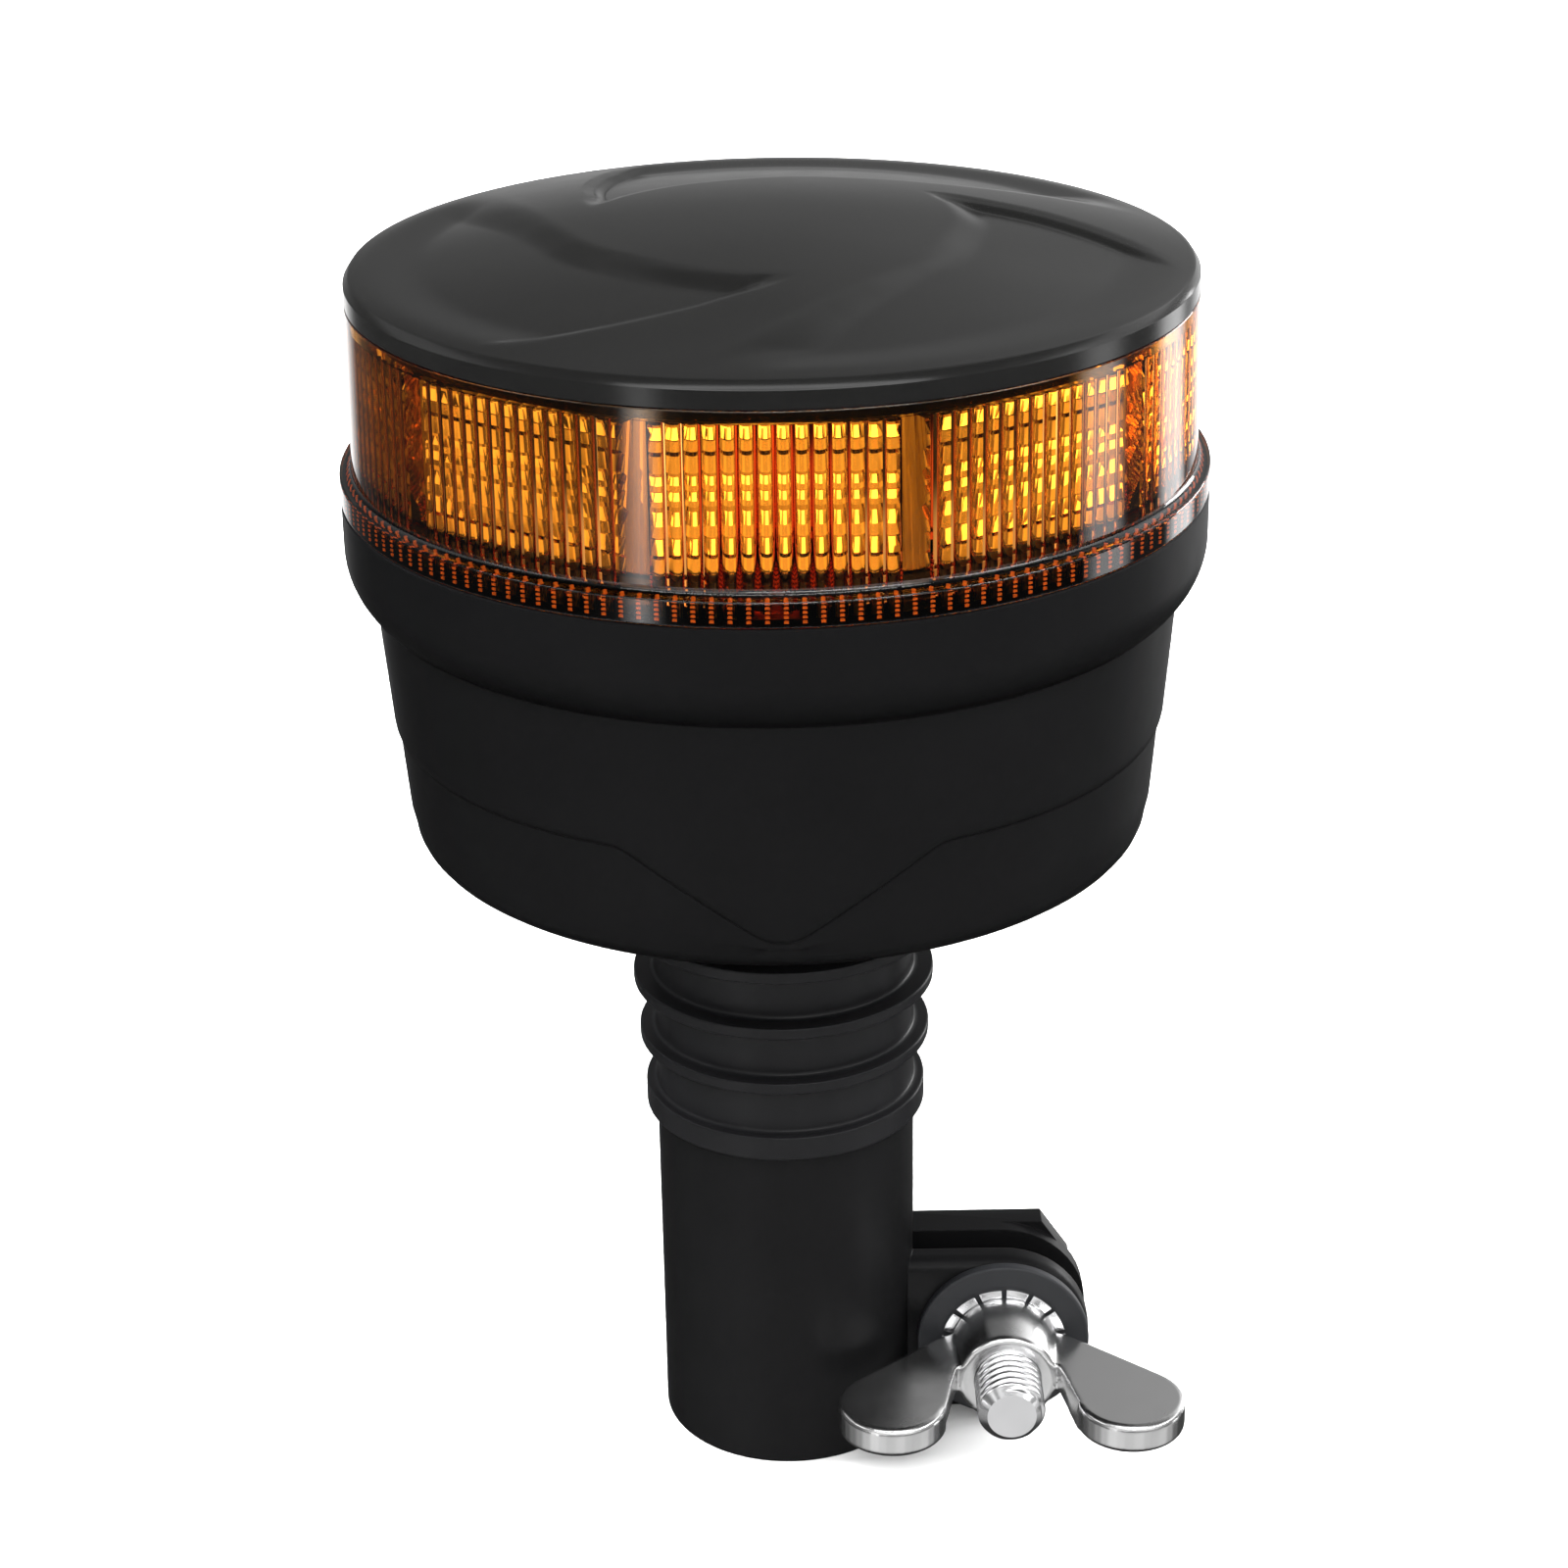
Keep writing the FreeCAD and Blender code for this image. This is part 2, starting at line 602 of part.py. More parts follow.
def skin_recess():
    """Band cut away below the proud upper skin, leaving the tongues standing."""
    low = Z_BASE - 1
    depth = 2 * BASE_WALL
    band = turned((base_radius(low) - SKIN_STEP, low), (base_radius(low) + depth, low),
                  (base_radius(Z_STEP) + depth, Z_STEP), (base_radius(Z_STEP) - SKIN_STEP, Z_STEP))
    return band.cut(pattern(tongue(Z_STEP + SKIN_STEP), TONGUES))


def tower_point(index):
    """Centre of one of the lens screws."""
    return front_polar(TOWER_RING_R, index * 360 / LENS_SCREWS)


def post_point(index):
    """Centre of one of the posts under the driver board."""
    return front_polar(POST_RING_R, (index + 0.5) * 360 / POSTS)


def base_housing():
    """Bowl with a wide rim, a proud skin with tongues, posts and screw towers."""
    rim_low = Z_RIM - RIM_BAND
    arc_side = RIM_ROUND * math.sqrt(0.5)
    centre_r = RIM_R - RIM_ROUND
    shell = turned((0, Z_BASE), (base_radius(Z_BASE), Z_BASE), (base_radius(Z_RIM), Z_RIM), (0, Z_RIM))
    rim = turned((0, rim_low - RIM_ROUND), (centre_r, rim_low - RIM_ROUND),
                 ((centre_r + arc_side, rim_low - arc_side), (RIM_R, rim_low)),
                 (RIM_R, Z_RIM), (0, Z_RIM))
    shell = shell.fuse(rim).cut(skin_recess())
    low_edges = []
    for edge in shell.Edges:
        if edge.BoundBox.ZMax < Z_BASE + 1e-4:
            low_edges.append(edge)
    shell = shell.makeFillet(BASE_CORNER, low_edges)
    rim_inner = RIM_R - RIM_LEDGE
    cavity = turned((0, Z_FLOOR), (base_radius(Z_FLOOR) - BASE_WALL - SKIN_STEP, Z_FLOOR),
                    (base_radius(rim_low - RIM_ROUND) - BASE_WALL, rim_low - RIM_ROUND),
                    (rim_inner, rim_low), (rim_inner, Z_RIM + 1), (0, Z_RIM + 1))
    shell = shell.cut(cavity)
    root = Z_BASE + FLOOR_T / 2
    towers = [rod(TOWER_R, root, Z_TOWER, tower_point(index)) for index in range(LENS_SCREWS)]
    posts = [rod(POST_R, root, Z_BOARD, post_point(index)) for index in range(POSTS)]
    bosses = []
    for index in range(RETAINER_SCREWS):
        bosses.append(rod(RETAINER_BOSS_R, root, Z_RETAINER, retainer_point(index)))
    shell = shell.multiFuse(towers + posts + bosses)
    groove = rod(SEAL_RING_R + SEAL_W / 2, Z_RIM - SEAL_H, Z_RIM + 1)
    cuts = [groove.cut(rod(SEAL_RING_R - SEAL_W / 2, Z_RIM - SEAL_H - 1, Z_RIM + 2))]
    cuts.append(rod(NECK_WAIST_R + NECK_CLEARANCE, Z_BASE - 1, Z_FLOOR + 1))
    screw_seat = Z_TOWER - SCREW_GRIP
    for index in range(LENS_SCREWS):
        at = tower_point(index)
        cuts.append(rod(SCREW_HEAD_R + SCREW_CLEARANCE, Z_BASE - 1, screw_seat, at))
        cuts.append(rod(SCREW_R + SCREW_CLEARANCE, screw_seat - 1, Z_TOWER + 1, at))
    for index in range(POSTS):
        cuts.append(rod(STUD_R + STUD_CLEARANCE, Z_BOARD - STUD_LEN, Z_BOARD + 1, post_point(index)))
    boss_floor = Z_RETAINER + RETAINER_T - RETAINER_SCREW_LEN
    for index in range(RETAINER_SCREWS):
        cuts.append(rod(RETAINER_SCREW_R, boss_floor, Z_RETAINER + 1, retainer_point(index)))
    return shell.cut(cuts)


def lens_seal():
    """Rubber ring in the groove of the rim, under the lens flange."""
    ring = rod(SEAL_RING_R + SEAL_W / 2, Z_RIM - SEAL_H, Z_RIM)
    return ring.cut(rod(SEAL_RING_R - SEAL_W / 2, Z_RIM - SEAL_H - 1, Z_RIM + 1))


def lens_screws():
    """Long screws from under the base into the lens lugs."""
    seat = Z_TOWER - SCREW_GRIP
    screws = []
    for index in range(LENS_SCREWS):
        at = tower_point(index)
        head = rod(SCREW_HEAD_R, seat - SCREW_HEAD_T, seat, at)
        screws.append(head.fuse(rod(SCREW_R, seat - SCREW_HEAD_T / 2, Z_TOWER + SCREW_BITE, at)))
    return screws


def flute_void():
    """Space inside the lens wall, with flutes in each panel and a plain bar between panels."""
    points = []
    fluted = FLUTES_PER_PANEL * FLUTE_DEG
    for panel in range(PANELS):
        first = panel * PANEL_DEG - fluted / 2
        for flute in range(FLUTES_PER_PANEL):
            angle = first + flute * FLUTE_DEG
            points.append(front_polar(FLUTE_R, angle, Z_LENS))
            points.append(front_polar(LENS_BORE_R, angle + FLUTE_DEG / 2, Z_LENS))
        points.append(front_polar(FLUTE_R, first + fluted, Z_LENS))
    points.append(points[0])
    return Part.Face(Part.makePolygon(points)).extrude(V(0, 0, LENS_H - SKIRT_H))


def lens():
    """Amber cylinder with inner flutes, a flange at its foot and three screw lugs."""
    wall = turned((0, Z_RIM), (RIM_R, Z_RIM), (RIM_R, Z_LENS), (LENS_FOOT_R, Z_LENS),
                  (LENS_TOP_R, Z_CAP), (0, Z_CAP))
    ledge = rod(RIM_R - RIM_LEDGE, Z_RIM - 1, Z_LENS)
    collar = rod(LENS_BORE_R, Z_CAP - SKIRT_H, Z_CAP + 1)
    wall = wall.cut([ledge, flute_void(), collar])
    lugs = []
    holes = []
    for index in range(LENS_SCREWS):
        arm = box(-LUG_W / 2, LUG_W / 2, -SEAL_RING_R, -TOWER_RING_R, Z_RIM, Z_LENS)
        at = tower_point(index)
        lugs.append(spun(arm, index * 360 / LENS_SCREWS))
        lugs.append(rod(LUG_W / 2, Z_RIM, Z_LENS, at))
        lugs.append(rod(TOWER_R, Z_TOWER, Z_LENS, at))
        holes.append(rod(SCREW_R, Z_TOWER - 1, Z_TOWER + SCREW_BITE, at))
    return wall.multiFuse(lugs).cut(holes)


def driver_board():
    """Round circuit board on the posts."""
    holes = []
    for index in range(POSTS):
        holes.append(rod(STUD_R + STUD_CLEARANCE, Z_BOARD - 1, Z_BOARD_TOP + 1, post_point(index)))
    return rod(BOARD_R, Z_BOARD, Z_BOARD_TOP).cut(holes)


def capacitors():
    """Upright can capacitors on the driver board."""
    cans = []
    for degrees in (-140, -100):
        at = front_polar(CAPACITOR_RING_R, degrees)
        cans.append(rod(CAPACITOR_R, Z_BOARD_TOP, Z_BOARD_TOP + CAPACITOR_H, at))
    return cans


def coil_choke():
    """Ring-shaped choke on the driver board."""
    at = front_polar(CHOKE_RING_R, 0)
    ring = rod(CHOKE_R, Z_BOARD_TOP, Z_BOARD_TOP + CHOKE_H, at)
    return ring.cut(rod(CHOKE_HOLE_R, Z_BOARD_TOP - 1, Z_BOARD_TOP + CHOKE_H + 1, at))


def driver_chips():
    """Flat square packages on the driver board."""
    half = CHIP_W / 2
    chip = box(-half, half, -CHIP_RING_R - half, -CHIP_RING_R + half, Z_BOARD_TOP, Z_BOARD_TOP + CHIP_T)
    return [spun(chip, degrees) for degrees in (90, 120, 150)]


def lead_terminal():
    """Block under the board where the two supply leads end."""
    half_w = TERMINAL_W / 2
    half_depth = TERMINAL_DEPTH / 2
    return box(-half_w, half_w, -half_depth, half_depth, TERMINAL_Z, Z_BOARD)


def board_standoffs():
    """Hexagonal spacers with studs through the board into the posts."""
    spacers = []
    for index in range(POSTS):
        at = post_point(index)
        body = hexagon(STANDOFF_AF, STANDOFF_LEN, V(at.x, at.y, Z_BOARD_TOP), V(0, 0, 1))
        stud = rod(STUD_R, Z_BOARD - STUD_LEN, Z_BOARD_TOP + 1, at)
        thread = rod(STUD_R + STUD_CLEARANCE, Z_SINK - STUD_LEN, Z_SINK + 1, at)
        spacers.append(body.fuse(stud).cut(thread))
    return spacers


def decagon(face_distance, z0, z1):
    """Ten-sided prism with one face to the front."""
    corner = face_distance / math.cos(math.radians(PANEL_DEG / 2))
    points = [front_polar(corner, (index + 0.5) * PANEL_DEG, z0) for index in range(PANELS + 1)]
    return Part.Face(Part.makePolygon(points)).extrude(V(0, 0, z1 - z0))


def heat_sink():
    """Cast core: a floor on the spacers and a ten-sided wall that carries the light boards."""
    floor = rod(SINK_SKIRT_R, Z_SINK, OPTIC_Z)
    wall = decagon(SINK_FACE, OPTIC_Z, OPTIC_Z + OPTIC_H)
    hollow = rod(SINK_HOLLOW_R, Z_SINK + SINK_FLOOR_T, OPTIC_Z + OPTIC_H + 1)
    cuts = [hollow]
    for index in range(POSTS):
        cuts.append(rod(STUD_R + STUD_CLEARANCE, Z_SINK - 1, Z_SINK + SINK_FLOOR_T + 1, post_point(index)))
    return floor.fuse(wall).cut(cuts)


def heat_sink_screws():
    """Screws through the heat sink's floor into the spacers."""
    seat = Z_SINK + SINK_FLOOR_T
    screws = []
    for index in range(POSTS):
        at = post_point(index)
        head = rod(SINK_SCREW_HEAD_R, seat, seat + STUD_R, at)
        screws.append(head.fuse(rod(STUD_R, Z_SINK - STUD_LEN + 1, seat, at)))
    return screws


def led_boards():
    """One small board on each face of the heat sink."""
    z0 = OPTIC_Z + LED_BOARD_END_GAP
    z1 = OPTIC_Z + OPTIC_H - LED_BOARD_END_GAP
    board = box(-LED_BOARD_W / 2, LED_BOARD_W / 2, -LED_FACE, -SINK_FACE, z0, z1)
    return pattern(board, PANELS)


def led_emitters():
    """Square emitters with a raised window, in a row on each board."""
    z_mid = OPTIC_Z + OPTIC_H / 2
    half = EMITTER_W / 2
    window = EMITTER_WINDOW_W / 2
    top = -LED_FACE - EMITTER_T
    emitters = []
    for index in range(EMITTERS):
        x = EMITTER_SPAN * (index / (EMITTERS - 1) - 0.5)
        body = box(x - half, x + half, top, -LED_FACE, z_mid - half, z_mid + half)
        raised = box(x - window, x + window, top - EMITTER_T, top, z_mid - window, z_mid + window)
        emitters += pattern(body.fuse(raised), PANELS)
    return emitters


def optic_panels():
    """Clear panels with ribs across their face, on two legs that stand on the light boards."""
    root = OPTIC_FACE - OPTIC_RIB_H
    pitch = OPTIC_H / OPTIC_RIBS
    moves = []
    for index in range(OPTIC_RIBS):
        low = OPTIC_Z + index * pitch
        moves += [(-root, low), (-OPTIC_FACE, low + pitch / 4), (-OPTIC_FACE, low + pitch * 3 / 4)]
    moves += [(-root, OPTIC_Z + OPTIC_H), (-root + OPTIC_T, OPTIC_Z + OPTIC_H)]

    def place(y, z):
        return V(-OPTIC_W / 2, y, z)

    plate = outline(place, (-root + OPTIC_T, OPTIC_Z), *moves).extrude(V(OPTIC_W, 0, 0))
    legs = []
    z0 = OPTIC_Z + LED_BOARD_END_GAP
    z1 = OPTIC_Z + OPTIC_H - LED_BOARD_END_GAP
    for side in (-1, 1):
        outer = side * LED_BOARD_W / 2
        inner = side * (LED_BOARD_W / 2 - OPTIC_LEG_T)
        legs.append(box(min(inner, outer), max(inner, outer), -root + OPTIC_T / 2, -LED_FACE, z0, z1))
    return pattern(plate.multiFuse(legs), PANELS)


def dome_ball(edge_r, edge_z, rise):
    """Sphere through a rim circle with a given rise above it."""
    radius = (edge_r ** 2 + rise ** 2) / (2 * rise)
    return Part.makeSphere(radius, V(0, 0, edge_z + rise - radius))


def swirl_arm():
    """Upright prism over one arm of the swirl, from its tip near the eye out past the rim."""
    rim = CAP_R + CAP_WALL
    lead_mid = (SWIRL_TIP_R + rim) / 2 + SWIRL_LEAD_BULGE
    trail_mid = (SWIRL_EYE_R + rim) / 2 - SWIRL_TRAIL_SAG
    rim_mid_deg = (SWIRL_LEAD_END_DEG + SWIRL_TRAIL_END_DEG) / 2

    def place(radius, behind_tip):
        return front_polar(radius, SWIRL_TIP_DEG - behind_tip, Z_CAP)

    face = outline(place, (SWIRL_TIP_R, 0),
                   ((lead_mid, SWIRL_LEAD_MID_DEG), (rim, SWIRL_LEAD_END_DEG)),
                   ((rim, rim_mid_deg), (rim, SWIRL_TRAIL_END_DEG)),
                   ((trail_mid, SWIRL_TRAIL_MID_DEG), (SWIRL_HEEL_R, SWIRL_HEEL_DEG)),
                   ((SWIRL_EYE_R, SWIRL_EYE_DEG), (SWIRL_TIP_R, 0)))
    return face.extrude(V(0, 0, CAP_SIDE_H + CAP_CHAMFER_H + 2 * DOME_RISE))


def top_cap():
    """Domed cover with a chamfered rim, a skirt inside the lens and a swirl sunk in its top."""
    z_side = Z_CAP + CAP_SIDE_H
    z_edge = z_side + CAP_CHAMFER_H
    edge_r = CAP_R - CAP_CHAMFER_W
    z_top = z_edge + DOME_RISE
    block = turned((0, Z_CAP), (CAP_R, Z_CAP), (CAP_R, z_side), (edge_r, z_edge),
                   (edge_r, z_top + 1), (0, z_top + 1))
    dome = dome_ball(edge_r, z_edge, DOME_RISE)
    solid = block.common(dome.fuse(rod(CAP_R, Z_CAP, z_edge)))
    sunk = dome_ball(edge_r, z_edge - SWIRL_DEPTH, DOME_RISE)
    band = rod(edge_r - CAP_WALL, z_edge - CAP_SIDE_H, z_top + 1).cut(sunk)
    solid = solid.cut([arm.common(band) for arm in pattern(swirl_arm(), SWIRL_ARMS)])
    inner = dome_ball(edge_r - CAP_WALL, z_edge - CAP_WALL, DOME_RISE - SWIRL_DEPTH)
    hollow = rod(SKIRT_R - SKIRT_T, Z_CAP - SKIRT_H - 1, z_top)
    hollow = hollow.common(inner.fuse(rod(CAP_R, 0, Z_CAP + SWIRL_DEPTH)))
    skirt = rod(SKIRT_R, Z_CAP - SKIRT_H, Z_CAP + CAP_SIDE_H / 2)
    return solid.fuse(skirt).cut(hollow)


os.makedirs("parts", exist_ok=True)
for maker in (clamp_sleeve, front_ear, rear_ear, clamp_bolt, flat_washer, lock_washer, wing_nut,
              contact_block, earth_contact, contact_pin, contact_spring, supply_leads, flexible_neck,
              neck_retainer, retainer_screws, base_housing, lens_seal, lens_screws, lens, driver_board,
              capacitors, coil_choke, driver_chips, lead_terminal, board_standoffs, heat_sink,
              heat_sink_screws, led_boards, led_emitters, optic_panels, top_cap):
    save(maker.__name__, maker())
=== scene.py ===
import math

import bmesh
import bpy
import numpy as np
from mathutils import Matrix, Vector


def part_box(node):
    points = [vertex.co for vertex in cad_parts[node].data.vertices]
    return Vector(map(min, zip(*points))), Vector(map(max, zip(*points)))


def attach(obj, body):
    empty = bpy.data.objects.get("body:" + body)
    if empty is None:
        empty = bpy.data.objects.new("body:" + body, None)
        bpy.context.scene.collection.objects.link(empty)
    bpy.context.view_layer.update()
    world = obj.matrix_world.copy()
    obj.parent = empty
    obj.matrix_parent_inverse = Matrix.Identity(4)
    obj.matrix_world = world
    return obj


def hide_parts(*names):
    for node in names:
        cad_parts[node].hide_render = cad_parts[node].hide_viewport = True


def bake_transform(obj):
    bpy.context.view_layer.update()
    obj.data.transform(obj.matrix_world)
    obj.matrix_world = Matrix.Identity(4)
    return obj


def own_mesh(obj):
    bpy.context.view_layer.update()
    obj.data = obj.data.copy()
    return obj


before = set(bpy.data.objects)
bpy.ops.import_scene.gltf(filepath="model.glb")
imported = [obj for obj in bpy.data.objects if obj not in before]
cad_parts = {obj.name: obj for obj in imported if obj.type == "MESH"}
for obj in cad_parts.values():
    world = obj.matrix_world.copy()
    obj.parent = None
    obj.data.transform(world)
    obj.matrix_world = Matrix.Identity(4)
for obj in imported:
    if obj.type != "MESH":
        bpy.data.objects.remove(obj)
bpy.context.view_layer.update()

# Clamp sleeve: the tube that slips over the pole, slit along one side, with two ears that the bolt
# draws together. One moulding of glass-filled black nylon, satin with a fine spark-eroded grain.
MM = 0.001
SLEEVE_BORE_R = 12.6
SLEEVE_EDGE_ROUND = 0.5
SOCKET_TOP = 48.0
SPIGOT_R = 15.0
STEM_HOLE_R = 9.1
SLIT_HALF_W = 2.6
SLIT_TOP = 30.8
EAR_SINK = 6.0
EAR_FRONT_ROUND = 2.0
EAR_BACK_ROUND = 0.7
EAR_HOLE_R = 5.5
BOSS_FLAT = 6.6
BOSS_SIDE = 10.9
BOSS_DROP = 6.8
BOSS_LAP = 1.1
HEX_POCKET_AF = 17.5
POCKET_DEPTH = 10.0
HEAD_H = 6.4
BOLT_REACH = 20.0
OVERCUT = 1.0
ARC_STEPS = 24
ROD_SIDES = 64
SLEEVE_COLUMNS = 192
ROUND_COLUMNS = 96
CUT_OF_RUN, HOLD_OF_RUN, HOLD_OF_CUT = 0.47, 0.02, 0.15
TOUCH = 1e-3
MIX_SHARE, MIX_A, MIX_B, MIX_RESULT = 0, 6, 7, 2
NOISE_MIDDLE = (0.3, 0.7)
TONE_PATCH = 14.0
GLOSS_PATCH = 6.0
GLOSS_RANGE = 0.015
GRAIN_STRENGTH = 0.5


def box_mm(node):
    """Lowest and highest corner of a CAD node, in millimetres."""
    low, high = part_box(node)
    return low / MM, high / MM


def rounded(corners, steps=4):
    """Closed outline from corners (x, y, radius), each a short curve between two flat runs."""
    outline = []
    for index, (x, y, radius) in enumerate(corners):
        corner = Vector((x, y))
        before = Vector(corners[index - 1][:2]) - corner
        after = Vector(corners[(index + 1) % len(corners)][:2]) - corner
        if radius == 0:
            outline.append(corner)
            continue
        shorter = min(before.length, after.length)
        cut = min(radius / math.tan(before.angle(after) / 2), CUT_OF_RUN * shorter)
        hold = min(HOLD_OF_CUT * cut, HOLD_OF_RUN * shorter)
        start = corner + before.normalized() * cut
        end = corner + after.normalized() * cut
        outline.append(start + before.normalized() * hold)
        for step in range(steps + 1):
            t = step / steps
            outline.append(start * (1 - t) ** 2 + corner * 2 * t * (1 - t) + end * t ** 2)
        outline.append(end + after.normalized() * hold)
    return outline


def arc(x, y, radius, first, last, steps):
    """Points on an arc between two angles in degrees."""
    turns = [math.radians(first + (last - first) * step / steps) for step in range(steps + 1)]
    return [(x + radius * math.cos(turn), y + radius * math.sin(turn)) for turn in turns]


def skinned(rings, looped):
    """Skin over rings of points. The last ring joins the first, or both ends are closed."""
    bm = bmesh.new()
    rows = [[bm.verts.new(point) for point in ring] for ring in rings]
    for row, following in zip(rows, rows[1:] + rows[:1] if looped else rows[1:]):
        for index in range(len(row)):
            bm.faces.new((row[index - 1], row[index], following[index], following[index - 1]))
    if not looped:
        bm.faces.new(rows[0])
        bm.faces.new(rows[-1])
    bmesh.ops.recalc_face_normals(bm, faces=bm.faces)
    return bm


def lathe(outline_at, columns):
    """Ring about Z. The outline of (radius, height) may change with the angle from the front."""
    rings = []
    for column in range(columns):
        angle = 2 * math.pi * column / columns
        outline = outline_at(math.degrees(angle))
        rings.append([(radius * math.sin(angle), -radius * math.cos(angle), z) for radius, z in outline])
    bm = skinned(rings, True)
    bmesh.ops.remove_doubles(bm, verts=bm.verts, dist=1e-5)
    bmesh.ops.delete(bm, geom=[edge for edge in bm.edges if not edge.link_faces], context="EDGES")
    bmesh.ops.recalc_face_normals(bm, faces=bm.faces)
    return bm


def prism(outline, place, depth):
    """Closed block from a flat outline, placed by a function and pushed along a vector."""
    bm = bmesh.new()
    face = bm.faces.new([bm.verts.new(place(x, y)) for x, y in outline])
    pushed = bmesh.ops.extrude_face_region(bm, geom=[face])
    moved = [item for item in pushed["geom"] if isinstance(item, bmesh.types.BMVert)]
    bmesh.ops.translate(bm, verts=moved, vec=depth)
    bmesh.ops.recalc_face_normals(bm, faces=bm.faces)
    return bm


def softened(bm, size, keep, steps=4):
    """Rounds the edges whose two ends pass a test."""
    edges = [edge for edge in bm.edges if keep(edge.verts[0].co) and keep(edge.verts[1].co)]
    bmesh.ops.bevel(bm, geom=edges, offset=size, segments=steps, profile=0.5, affect="EDGES")
    return bm


def shaded(mesh, crease):
    """Smooth shading, with edges sharper than the crease angle kept crisp."""
    mesh.polygons.foreach_set("use_smooth", [True] * len(mesh.polygons))
    mesh.set_sharp_from_angle(angle=math.radians(crease))


def piece(name, bm, crease=32):
    """Object in metres from a mesh drawn in millimetres."""
    mesh = bpy.data.meshes.new(name)
    bm.transform(Matrix.Scale(MM, 4))
    bm.to_mesh(mesh)
    bm.free()
    shaded(mesh, crease)
    obj = bpy.data.objects.new(name, mesh)
    bpy.context.scene.collection.objects.link(obj)
    return obj


def applied(obj, crease):
    """Bakes the object's modifiers into its mesh."""
    graph = bpy.context.evaluated_depsgraph_get()
    mesh = bpy.data.meshes.new_from_object(obj.evaluated_get(graph))
    obj.modifiers.clear()
    obj.data = mesh
    shaded(mesh, crease)


def carved(obj, operation, others, crease=32):
    """Joins other objects to this one or cuts them out of it."""
    for other in others:
        cut = obj.modifiers.new("carve", "BOOLEAN")
        cut.operation = operation
        cut.solver = "EXACT"
        cut.object = other
    applied(obj, crease)
    for other in others:
        bpy.data.objects.remove(other)


def dressed(obj, material, body, slot, *nodes):
    """Gives a piece its material, its body and the CAD nodes it stands for."""
    obj.data.materials.clear()
    obj.data.materials.append(material)
    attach(obj, body)
    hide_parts(*nodes)


def material_tree(name):
    """New material with its node tree and surface shader."""
    material = bpy.data.materials.new(name)
    material.use_nodes = True
    tree = material.node_tree
    return material, tree, tree.nodes["Principled BSDF"]


def fed(tree, node, values):
    """Sets a node's sockets, or links them where the value is another node's output."""
    for socket, value in values.items():
        if isinstance(value, bpy.types.NodeSocket):
            tree.links.new(value, node.inputs[socket])
        else:
            node.inputs[socket].default_value = value
    return node


def noise(tree, size, detail=3.0):
    """Noise in the object's own space, with features of about the given size."""
    place = tree.nodes.new("ShaderNodeTexCoord").outputs["Object"]
    texture = tree.nodes.new("ShaderNodeTexNoise")
    fed(tree, texture, {"Vector": place, "Scale": 1 / (size * MM), "Detail": detail})
    return texture.outputs["Fac"]


def mapped(tree, value, low, high, to_low=0.0, to_high=1.0, kind="LINEAR"):
    """Maps a value from one range onto another."""
    node = tree.nodes.new("ShaderNodeMapRange")
    node.interpolation_type = kind
    fed(tree, node, {"Value": value, "From Min": low, "From Max": high,
                     "To Min": to_low, "To Max": to_high})
    return node.outputs["Result"]


def bumped(tree, height, depth, strength, edge=0.0):
    """Bump from a height, over edges that look rounded by a small radius."""
    bump = tree.nodes.new("ShaderNodeBump")
    fed(tree, bump, {"Strength": strength, "Distance": depth * MM, "Height": height})
    if edge:
        bevel = fed(tree, tree.nodes.new("ShaderNodeBevel"), {"Radius": edge * MM})
        bevel.samples = 4
        fed(tree, bump, {"Normal": bevel.outputs["Normal"]})
    return bump.outputs["Normal"]


def moulded(name, dark, light, rough, grain, depth, specular, edge=0.0):
    """Moulded plastic or rubber: grain in the bump, and slow changes of tone and gloss."""
    material, tree, shader = material_tree(name)
    tone = tree.nodes.new("ShaderNodeMix")
    tone.data_type = "RGBA"
    fed(tree, tone, {MIX_SHARE: noise(tree, TONE_PATCH), MIX_A: (*dark, 1), MIX_B: (*light, 1)})
    gloss = mapped(tree, noise(tree, GLOSS_PATCH), *NOISE_MIDDLE, rough - GLOSS_RANGE, rough + GLOSS_RANGE)
    normal = bumped(tree, noise(tree, grain), depth, GRAIN_STRENGTH, edge)
    fed(tree, shader, {"Base Color": tone.outputs[MIX_RESULT], "Roughness": gloss, "Normal": normal,
                       "Specular IOR Level": specular})
    return material


sleeve_low, sleeve_high = box_mm("clamp_sleeve")
front_low, front_high = box_mm("front_ear")
rear_low, rear_high = box_mm("rear_ear")
SLEEVE_R = sleeve_high.x
SLEEVE_TOP = box_mm("flexible_neck")[0].z
EAR_R = (front_high.z - front_low.z) / 2
BOLT_X = front_high.x - EAR_R
BOLT_Z = front_low.z + EAR_R
EAR_ROOT = SLEEVE_R - EAR_SINK
BOSS_FRONT = (rear_low.y + rear_high.y) / 2 - BOSS_LAP


def ear_outline():
    """Flat-topped ear with a round end about the bolt."""
    end = arc(BOLT_X, BOLT_Z, EAR_R, -90, 90, ARC_STEPS)
    return [(EAR_ROOT, front_low.z), *end, (EAR_ROOT, front_high.z)]


def bolt_rod(radius, y_front, y_rear):
    """Cylinder on the bolt's axis."""
    circle = arc(BOLT_X, BOLT_Z, radius, 0, 360, ROD_SIDES)[:-1]
    return prism(circle, lambda x, z: (x, y_front, z), (0, y_rear - y_front, 0))


